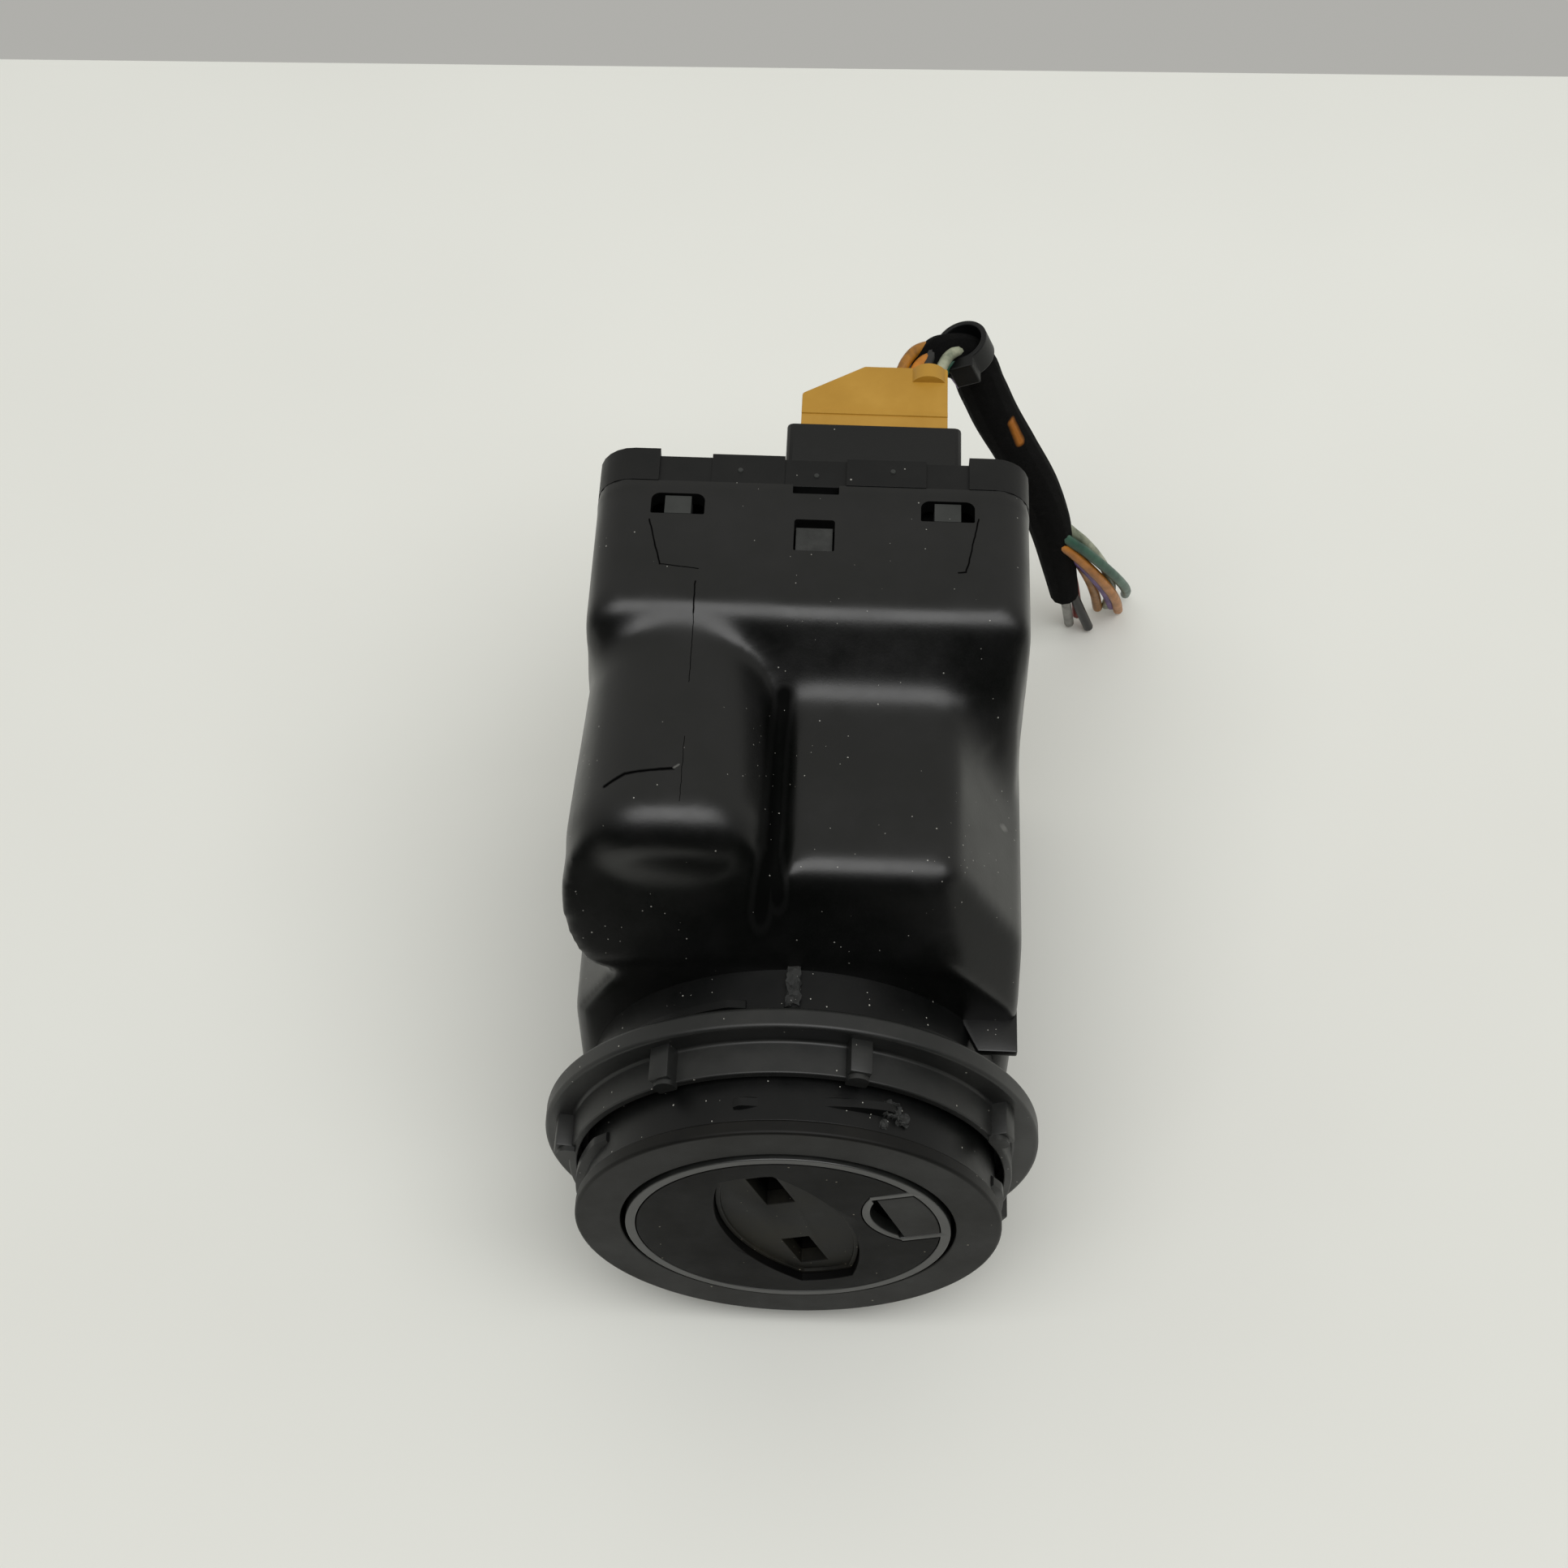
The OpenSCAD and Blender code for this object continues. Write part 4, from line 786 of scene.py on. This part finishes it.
def rooms():
    """The room inside the housing, as cutters."""
    low = base_z + WALL
    back = SEAM_Y + 3
    cutters = []
    for corners, start in (
        ([(-HALF_W + WALL, low), (HALF_W - WALL, low), (HALF_W - WALL, LEDGE_H - 0.5),
          (-HALF_W + WALL, LEDGE_H - 0.5)], SHOULDER_Y + WALL),
        ([(-WAIST_X + WALL, 0), (HALF_W - WALL, 0), (HALF_W - WALL, HIP_H - 1.5), (DECK_RIGHT - 1, DECK_H - WALL),
          (DECK_LEFT + WALL, DECK_H - WALL), (DECK_LEFT + WALL, VALLEY_H - WALL), (-WAIST_X + WALL, VALLEY_H - WALL)],
         DECK_FRONT_Y + 2 * WALL),
        ([(-HALF_W + WALL, low), (HALF_W - WALL, low), (HALF_W - WALL, BOX_H - WALL),
          (-HALF_W + WALL, BOX_H - WALL)], BOX_FRONT_Y + WALL + 0.5),
    ):
        room = bmesh.new()
        prism(room, corners, "Y", start, back)
        close_up(room)
        cutters.append(room)
    bore = bmesh.new()
    lathe(bore, [(0, BULGE_FRONT_Y + 2 * WALL), (BULGE_R - WALL, BULGE_FRONT_Y + 2 * WALL),
                 (BULGE_R - WALL, back), (0, back)], steps=64)
    close_up(bore)
    bmesh.ops.translate(bore, verts=bore.verts, vec=(BULGE_X, 0, BULGE_Z))
    bearing = bmesh.new()
    start = SHOULDER_Y - 2
    end = SHOULDER_Y + WALL + 1
    lathe(bearing, [(0, start), (BEARING_ROOM_R, start), (BEARING_ROOM_R, end), (0, end)])
    close_up(bearing)
    return [*cutters, bore, bearing]


TAB_LOW = 13.2
TAB_HIGH = 14.4
TAB_W = 6.7
TAB_SLANT = 2
TAB_REACH = 4.1


def tab(bm):
    """Locating tab at the right of the shoulder, slanted on its inner side."""
    left = HALF_W - TAB_W
    front = SHOULDER_Y - TAB_REACH
    plate = bmesh.new()
    prism(plate, [
        (left, SHOULDER_Y), (left + TAB_SLANT, front), (HALF_W, front), (HALF_W, SHOULDER_Y + WALL),
        (left, SHOULDER_Y + WALL),
    ], "Z", TAB_LOW, TAB_HIGH)
    close_up(plate)
    bmesh.ops.bevel(
        plate, geom=list(plate.edges), offset=0.2, segments=2, profile=0.5, affect="EDGES", material=-1,
        clamp_overlap=True,
    )
    join_in(bm, plate)


skin = moulding()
for cutter in [windows(), *rooms()]:
    skin = carved(skin, cutter)
tab(skin)
piece("housing_body", skin, [HOUSING_NYLON], "body", ["housing"], crease=32)


# Barrel with its thread

BEZEL_T = 1.8
BARREL_R = 24.7
BARREL_IN_R = 22.9
THREAD_H = 1
BEARING_R = 17.96
BEARING_OUT_R = 19.56
BEARING_FRONT = 5.8
BEARING_BACK = 34.7
THREAD_LEAN = 2.4
RIDGE_TAPER = 9
# Rows of the thread: middle angle, sweep, distance from the bezel's face
THREAD_ROWS = [(8, 46, 4.6), (-14, 60, 10.4), (-35, 44, 16.4)]


def thread_ridge(bm, middle, sweep, y):
    """One ridge of the coarse thread: leaning, run out at its ends, and flat where the mould's halves part."""
    ridge = bmesh.new()
    root = BARREL_R - 0.4
    crest = BARREL_R + THREAD_H
    lathe(ridge, [(root, y - 1.0), (crest, y - 0.5), (crest, y + 0.5), (root, y + 1.0)],
          steps=int(sweep * 1.2), sweep=sweep, start=-sweep / 2)
    close_up(ridge)
    for v in ridge.verts:
        turn = math.degrees(math.atan2(v.co.x, v.co.z))
        parting = (middle + turn + 90) % 180 - 90
        flank = (parting - 2.3) / 23 if parting > 0 else (-parting - 5.3) / 11
        share = min(1, (sweep / 2 - abs(turn)) / RIDGE_TAPER + 0.5, max(0.1, flank))
        radius = math.hypot(v.co.x, v.co.z)
        new = root + (radius - root) * share
        v.co.x *= new / radius
        v.co.z *= new / radius
    bmesh.ops.translate(ridge, verts=ridge.verts, vec=(0, -y, 0))
    bmesh.ops.rotate(ridge, verts=ridge.verts, matrix=Matrix.Rotation(math.radians(THREAD_LEAN), 3, "Z"))
    bmesh.ops.translate(ridge, verts=ridge.verts, vec=(0, y, 0))
    bmesh.ops.rotate(ridge, verts=ridge.verts, matrix=Matrix.Rotation(math.radians(middle), 3, "Y"))
    join_in(bm, ridge)


def barrel():
    """Barrel wall, web and bearing sleeve in one turned shape, with the thread outside."""
    web = SHOULDER_Y - 1
    bm = bmesh.new()
    lathe(bm, rounded([
        (BARREL_R, BEZEL_T + 0.05, 0.3), (BARREL_R, SHOULDER_Y + WALL, 0), (BEARING_OUT_R, SHOULDER_Y + WALL, 0),
        (BEARING_OUT_R, BEARING_BACK, 0), (BEARING_R, BEARING_BACK, 0), (BEARING_R, BEARING_FRONT, 0),
        (BEARING_OUT_R, BEARING_FRONT, 0), (BEARING_OUT_R, web, 0), (BARREL_IN_R, web, 0),
        (BARREL_IN_R, BEZEL_T + 0.05, 0.3),
    ], 3), steps=180)
    close_up(bm)
    for turn in range(4):
        for middle, sweep, y in THREAD_ROWS:
            thread_ridge(bm, middle + 90 * turn, sweep, y)
    return bm


piece("housing_barrel", barrel(), [BARREL_NYLON], "body", crease=32)


def frayed(bm, low, high, cell, height):
    """A bar with a torn, frayed top."""
    bar = bmesh.new()
    block(bar, low, high)
    bmesh.ops.subdivide_edges(bar, edges=bar.edges, cuts=11, use_grid_fill=True)
    for v in bar.verts:
        if v.co.z > low[2] + 0.4:
            v.co += noise.noise_vector(v.co / cell) * height
    close_up(bar)
    join_in(bm, bar)


BURR_SEED = 3
# Torn lumps at the end of the front ridge: angle, distance from the bezel's face, width, depth, height
TORN_LUMPS = [(27, 5.0, 1.9, 1.7, 0.75), (30.5, 4.2, 1.4, 1.3, 0.6), (25.5, 3.2, 0.9, 1.0, 0.25)]


def burrs():
    """The cut rib on top of the barrel, and the torn end of the front ridge."""
    noise.seed_set(BURR_SEED)
    bm = bmesh.new()
    frayed(bm, (-1.0, 16.4, BARREL_R - 0.6), (0.6, 21.6, BARREL_R + 0.7), 0.45, 0.3)
    for turn, y, width, depth, height in TORN_LUMPS:
        lump = bmesh.new()
        low = (-width / 2, y - depth / 2, BARREL_R - 0.7)
        high = (width / 2, y + depth / 2, BARREL_R + height)
        frayed(lump, low, high, 0.4, 0.42)
        bmesh.ops.rotate(lump, verts=lump.verts, matrix=Matrix.Rotation(math.radians(turn), 3, "Y"))
        join_in(bm, lump)
    return bm


piece("barrel_burrs", burrs(), [BROKEN_NYLON], "body", crease=20)


# Bezel, lock ring and turning face

bezel_r = box_mm("front_bezel")[1].x
BEZEL_IN_R = 20.05
SPIGOT_R = BARREL_IN_R - 0.05
SPIGOT_L = 3.2
SPIGOT_T = 1.3


def bezel():
    """Flat bezel ring with its spigot, turned in one."""
    back = BEZEL_T + SPIGOT_L
    bm = bmesh.new()
    lathe(bm, rounded([
        (bezel_r, 0, 0.4), (bezel_r, BEZEL_T, 0.3), (SPIGOT_R, BEZEL_T, 0), (SPIGOT_R, back, 0.3),
        (SPIGOT_R - SPIGOT_T, back, 0.3), (SPIGOT_R - SPIGOT_T, BEZEL_T, 0), (BEZEL_IN_R, BEZEL_T, 0.15),
        (BEZEL_IN_R, 0, 0.2),
    ], 4), steps=180)
    close_up(bm)
    return bm


piece("bezel_ring", bezel(), [BEZEL_ABS], "body", ["front_bezel"], crease=40)

ring_high = box_mm("lock_ring")[1]
FLANGE_R = ring_high.x
RING_IN_R = 25.76
RING_SKIRT_R = RING_IN_R + 1
RING_FRONT_Y = 11
RING_SKIRT_Y = RING_FRONT_Y - 4.1
LUG_COUNT = 7
LUG_FIRST = -80
LUG_PITCH = 48
LUG_W = 2.6
LUG_H = 1.9
LUG_NOSE = 0.6


def lug(bm, turn):
    """One square lug with its round nose."""
    made = bmesh.new()
    top = RING_SKIRT_R + LUG_H
    block(made, (-LUG_W / 2, RING_SKIRT_Y, RING_SKIRT_R - 0.4), (LUG_W / 2, RING_FRONT_Y + 0.4, top), 0.2)
    nose = bmesh.new()
    half = LUG_W / 2 - 0.05
    foot = RING_IN_R + 0.45
    crown = top - 0.35
    prism(nose, rounded([
        (-half, foot, 0.2), (half, foot, 0.2), (half, crown, 1.1), (-half, crown, 1.1)
    ]), "Y", RING_SKIRT_Y - LUG_NOSE, RING_SKIRT_Y + 1)
    close_up(nose)
    join_in(made, nose)
    bmesh.ops.rotate(made, verts=made.verts, matrix=Matrix.Rotation(math.radians(turn), 3, "Y"))
    join_in(bm, made)


def lock_ring():
    """Ring nut: flange and skirt turned in one, with its lugs."""
    bm = bmesh.new()
    lathe(bm, rounded([
        (RING_IN_R, RING_SKIRT_Y, 0.15), (RING_SKIRT_R, RING_SKIRT_Y, 0.2), (RING_SKIRT_R, RING_FRONT_Y, 0.35),
        (FLANGE_R, RING_FRONT_Y, 0.45), (FLANGE_R, ring_high.y, 0.5), (RING_IN_R, ring_high.y, 0.3),
    ], 3), steps=180)
    close_up(bm)
    for i in range(LUG_COUNT):
        lug(bm, LUG_FIRST + LUG_PITCH * i)
    return bm


piece("ring_nut", lock_ring(), [RING_NYLON], "lock_ring", ["lock_ring"], crease=32)

piece("face_plate", softened("face_disc", 0.12), [FACE_ABS], "rotor", ["face_disc"], crease=18)
piece("guide_plate", softened("key_guide", 0.1), [GUIDE_ABS], "rotor", ["key_guide"], crease=18)
piece(
    "light_guide_ring", softened("light_ring", 0.15), [SMOKED_GUIDE], "rotor", ["light_ring"],
    crease=18,
)
piece(
    "release_flap", softened("release_cover", 0.12), [FLAP_ABS], "release_cover", ["release_cover"],
    crease=18,
)


def bent_spring(name, node):
    """A coil spring: a copy of its CAD node's mesh in drawn steel, left where it stands."""
    bm = bmesh.new()
    bm.from_mesh(nodes[node].data)
    bmesh.ops.remove_doubles(bm, verts=bm.verts, dist=2e-6)
    mesh = bpy.data.meshes.new(name)
    bm.to_mesh(mesh)
    bm.free()
    mesh.materials.append(DRAWN_STEEL)
    mesh.shade_smooth()
    made = bpy.data.objects.new(name, mesh)
    bpy.context.scene.collection.objects.link(made)
    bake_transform(made)
    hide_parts(node)


bent_spring("release_spring", "button_spring")


# Rear cover and plug

def rear_cap():
    """Rear cover with its socket; its snap hooks and its broken latch have skins of their own."""
    bm = softened("rear_cover", 0.25)
    for face in bm.faces:
        middle = face.calc_center_median()
        if middle.y < SEAM_Y - 0.2 and middle.z > BOX_H - 3.5:
            face.material_index = 2 if abs(middle.x - LATCH_X) < LATCH_ROOM_W / 2 else 1
    return bm


piece(
    "rear_cap", rear_cap(), [CAP_NYLON, HOOK_NYLON, BROKEN_NYLON], "body", ["rear_cover"], crease=18
)


# Places of the moulding gates
GATES = [(-9, 79.1, 45.75), (0.3, 78.8, 45.5), (9.6, 79.4, 46)]


def gate_marks():
    """Stubs of the gates that the rear cover was moulded through."""
    bm = bmesh.new()
    for place in GATES:
        bmesh.ops.create_cone(
            bm, cap_ends=True, segments=16, radius1=0.42, radius2=0.3, depth=0.3, matrix=Matrix.Translation(place)
        )
    return bm


piece("gate_marks", gate_marks(), [HOOK_NYLON], "body", crease=25)
piece("plug_body", softened("wire_plug", 0.3), [AMBER_PBT], "body", ["wire_plug"], crease=18)


# How much smaller the strap is when pulled tight, and how far it then sits from its solid
STRAP_SHRINK = 0.8
STRAP_SHIFT = (-0.4, 0.4, 1.6)


def strap():
    """Strap pulled tight round the wires where they turn down, with its square lock."""
    bm = softened("plug_clip", 0.25)
    low, high = box_mm("plug_clip")
    bmesh.ops.scale(bm, verts=bm.verts, vec=(STRAP_SHRINK,) * 3, space=Matrix.Translation(-(low + high) / 2))
    bmesh.ops.translate(bm, verts=bm.verts, vec=STRAP_SHIFT)
    return bm


piece("wire_strap", strap(), [CAP_NYLON], "body", ["plug_clip"], crease=18)


# Harness: its route repeats the points of the part's source, from the plug's back

PLUG_BACK = Vector((0, 99.05, 0))
EXIT_ROUTE = [
    (12.6, 0, 39.4), (13, 3.5, 41), (14.8, 6.4, 41.4), (17.2, 7.2, 40.2), (19.2, 7.4, 37.6), (20.8, 7.5, 34.2)
]
SLEEVE_ROUTE = [
    (19.2, 7.4, 37.6), (21.6, 7.8, 32), (23.8, 8.5, 26), (27.2, 9.6, 18), (30.6, 10.6, 9.5), (33.3, 11.2, 1),
    (35.2, 11.6, -7), (37.2, 12.4, -16.5)
]
WIRE_ENDS = [
    (39.2, 16.5, -29), (40.4, 17.6, -28.2), (42.1, 15.6, -28.8), (43.6, 19.2, -28.4),
    (45.7, 19.6, -28.2), (46.8, 19.2, -28.8), (47.9, 21.6, -27.8), (44.9, 19.8, -28.4)
]
WIRE_LEAVE = [6, 6, 6, 5, 5, 5, 5, 5]
WIRE_BOWS = [0, 0.5, 1, 7.5, 9.4, 9.9, 10.6, 8.6]
EXIT_GATHER = [0, 0.15, 0.6, 0.9, 1, 1]
# How often each wire's bend behind the plug is eased
EXIT_ROUNDS = [2, 2, 2, 2, 3, 2, 2, 2]
# Contact that each wire comes from
PLUG_PLACES = [0, 1, 6, 4, 2, 5, 3, 7]
BUNDLE_R = 2
WIRE_D = 1.5
SLEEVE_D = 6.2
WIRE_SKINS = [
    wire_skin("grey", "#8f8d87", "#5c5a55"),
    wire_skin("red", "#a3231d", "#4e1513"),
    wire_skin("black", "#191919", "#2b2a28"),
    wire_skin("brown", "#b5781f", "#6d4a1c"),
    wire_skin("purple", "#6f3f94", "#43295a"),
    wire_skin("orange", "#c77d1f", "#8c5617"),
    wire_skin("green", "#2c5f48", "#1c3a32"),
    wire_skin("white_green", "#a5a890", "#4f5a48"),
]


def plug_spot(k):
    """Place of a wire in the plug's back, from the middle line."""
    place = PLUG_PLACES[k]
    return Vector(((place % 4 - 1.5) * 1.7, 0, (place // 4) * 2.6 - 1.3))


def bundle_spot(k):
    """Place of a wire in the round bundle, from the middle line."""
    if k == 0:
        return Vector((0, 0, 0))
    turn = 2 * math.pi * k / 7
    return BUNDLE_R * Vector((math.cos(turn), math.sin(turn), 0))


def wire_route(k):
    """Points of one wire, from the plug through the sleeve to its cut end."""
    points = []
    for spot, gather in zip(EXIT_ROUTE, EXIT_GATHER):
        points.append(Vector(spot) + (1 - gather) * plug_spot(k) + gather * bundle_spot(k))
    for spot in SLEEVE_ROUTE[2 : WIRE_LEAVE[k] + 1]:
        points.append(Vector(spot) + bundle_spot(k))
    start = points[-1]
    leave = Vector(SLEEVE_ROUTE[WIRE_LEAVE[k] + 1]) + bundle_spot(k) + WIRE_BOWS[k] * Vector((1, 0, -0.45))
    end = Vector(WIRE_ENDS[k])
    for i in range(1, 6):
        s = i / 5
        points.append((1 - s) ** 2 * start + 2 * s * (1 - s) * leave + s * s * end)
    for _ in range(EXIT_ROUNDS[k]):
        for i in range(1, len(EXIT_ROUTE)):
            points[i] = (points[i - 1] + 2 * points[i] + points[i + 1]) / 4
    return [p + PLUG_BACK for p in points]


def cord_curve(name, points, diameter, finish, swell=None):
    """A round cord as one smooth open curve through its points, thicker or thinner along its length."""
    curve = bpy.data.curves.new(name, "CURVE")
    curve.dimensions = "3D"
    curve.bevel_depth = diameter / 2 * MM
    curve.bevel_resolution = 4
    curve.resolution_u = 8
    curve.use_fill_caps = True
    spline = curve.splines.new("BEZIER")
    spline.bezier_points.add(len(points) - 1)
    for i, (knot, point) in enumerate(zip(spline.bezier_points, points)):
        knot.co = point * MM
        knot.handle_left_type = knot.handle_right_type = "AUTO"
        if swell:
            knot.radius = swell[i]
    curve.materials.append(finish)
    made = bpy.data.objects.new(name, curve)
    bpy.context.scene.collection.objects.link(made)
    bpy.context.view_layer.update()
    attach(made, "body")
    return made, spline.calc_length()


for k, skin_finish in enumerate(WIRE_SKINS):
    wire, length = cord_curve(f"wire_{k + 1}", wire_route(k), WIRE_D, skin_finish)
    if k == 0:
        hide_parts("plug_wires", "loose_wires")

# The tape starts thin under the wires at the plug and swells to the sleeve's full width past the strap
TAPE_ROUTE = [(13, 0.2, 38.2), (13.6, 3.0, 39.4), (15.2, 5.7, 39.8), (17.1, 6.8, 39)] + SLEEVE_ROUTE
TAPE_SWELL = [0.6, 0.68, 0.82, 0.94, 1.02, 1.02, 1.02, 1.0, 1.04, 1.0, 0.86, 0.7]
tape_points = [Vector(p) + PLUG_BACK for p in TAPE_ROUTE]
sleeve, sleeve_length = cord_curve("tape_sleeve", tape_points, SLEEVE_D, FLEECE, TAPE_SWELL)
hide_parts("harness_sleeve")


# Table, light and camera

def table_finish():
    """Painted table board: pale, faintly warm, with a soft mottle, and painted light that makes it darker at its
    front and lighter towards the back.
    """
    material, tree, shader, spot = begin("painted_board")
    mottle = add(tree, "TexNoise", Vector=spot, Scale=per_mm(90), Detail=4.0, Roughness=0.5)
    # Painted light and shade: a darker colour at the front and a lighter one towards the back, as the light falls on
    # the board
    painted_shade_front = stops(tree, mottle.outputs["Fac"], (0.3, "#e0e0da"), (0.7, "#e3e4de"))
    painted_light_back = stops(tree, mottle.outputs["Fac"], (0.3, "#eff0ea"), (0.7, "#f2f3ed"))
    depth = add(tree, "SeparateXYZ", Vector=spot).outputs["Y"]
    tree.links.new(blend(tree, spread(tree, depth, 0.0, 0.2, 0.0, 1.0), painted_shade_front, painted_light_back), shader.inputs["Base Color"])
    shader.inputs["Roughness"].default_value = 0.55
    return material


table_bm = bmesh.new()
corners = [
    (-TABLE_HALF_W, TABLE_FRONT_Y), (TABLE_HALF_W, TABLE_FRONT_Y), (TABLE_HALF_W, TABLE_BACK_Y + TABLE_BACK_TURN),
    (-TABLE_HALF_W, TABLE_BACK_Y - TABLE_BACK_TURN),
]
table_bm.faces.new([table_bm.verts.new((x * MM, y * MM, base_z * MM)) for x, y in corners])
table_mesh = bpy.data.meshes.new("table")
table_bm.to_mesh(table_mesh)
table_bm.free()
table_mesh.materials.append(table_finish())
table = bpy.data.objects.new("table", table_mesh)
bpy.context.scene.collection.objects.link(table)


def room_light():
    """Pale room all round, dim low in front of the switch where the viewer stands."""
    world = bpy.data.worlds.new("room")
    bpy.context.scene.world = world
    world.use_nodes = True
    tree = world.node_tree
    tree.nodes.clear()
    way = add(tree, "TexCoord").outputs["Generated"]
    parts = add(tree, "SeparateXYZ", Vector=way)
    front = spread(tree, parts.outputs["Y"], -0.6, 0.2, 0.0, 0.5)
    height = spread(tree, parts.outputs["Z"], 0.6, 0.9, 0.0, 1.0)
    lit = reckon(tree, "MAXIMUM", front, spread(tree, height, 0.0, 1.0, 0.0, 0.5))
    seen = add(tree, "LightPath").outputs["Is Camera Ray"]
    strength = add(tree, "Mix", {"data_type": "FLOAT"}, _0=seen, _2=lit, _3=0.44)
    shade = add(tree, "Background", Color=linear("#fdfcf6"), Strength=strength.outputs[0])
    add(tree, "OutputWorld", Surface=shade.outputs["Background"])


def softbox(name, place, aim, width, depth, power):
    """A broad soft light that looks at a point."""
    lamp = bpy.data.lights.new(name, "AREA")
    lamp.shape = "RECTANGLE"
    lamp.size = width
    lamp.size_y = depth
    lamp.energy = power
    made = bpy.data.objects.new(name, lamp)
    made.location = place
    made.rotation_euler = (Vector(aim) - Vector(place)).to_track_quat("-Z", "Y").to_euler()
    bpy.context.scene.collection.objects.link(made)


room_light()
softbox("ceiling_softbox", (0.05, -0.26, 0.85), (0, 0.05, 0), 1.3, 0.54, 7.2)

lens = bpy.data.cameras.new("photo_camera")
lens.sensor_width = SENSOR_W
lens.lens = FOCAL_PIXELS / PHOTO_SIZE * SENSOR_W
lens.clip_start = 0.01
camera = bpy.data.objects.new("photo_camera", lens)
turned_axes = Matrix((CAMERA_RIGHT, CAMERA_UP, CAMERA_BACK)).transposed().to_4x4()
camera.matrix_world = Matrix.Translation(CAMERA_PLACE * MM) @ turned_axes
bpy.context.scene.collection.objects.link(camera)
bpy.context.scene.camera = camera
bpy.context.scene.view_settings.view_transform = "Standard"
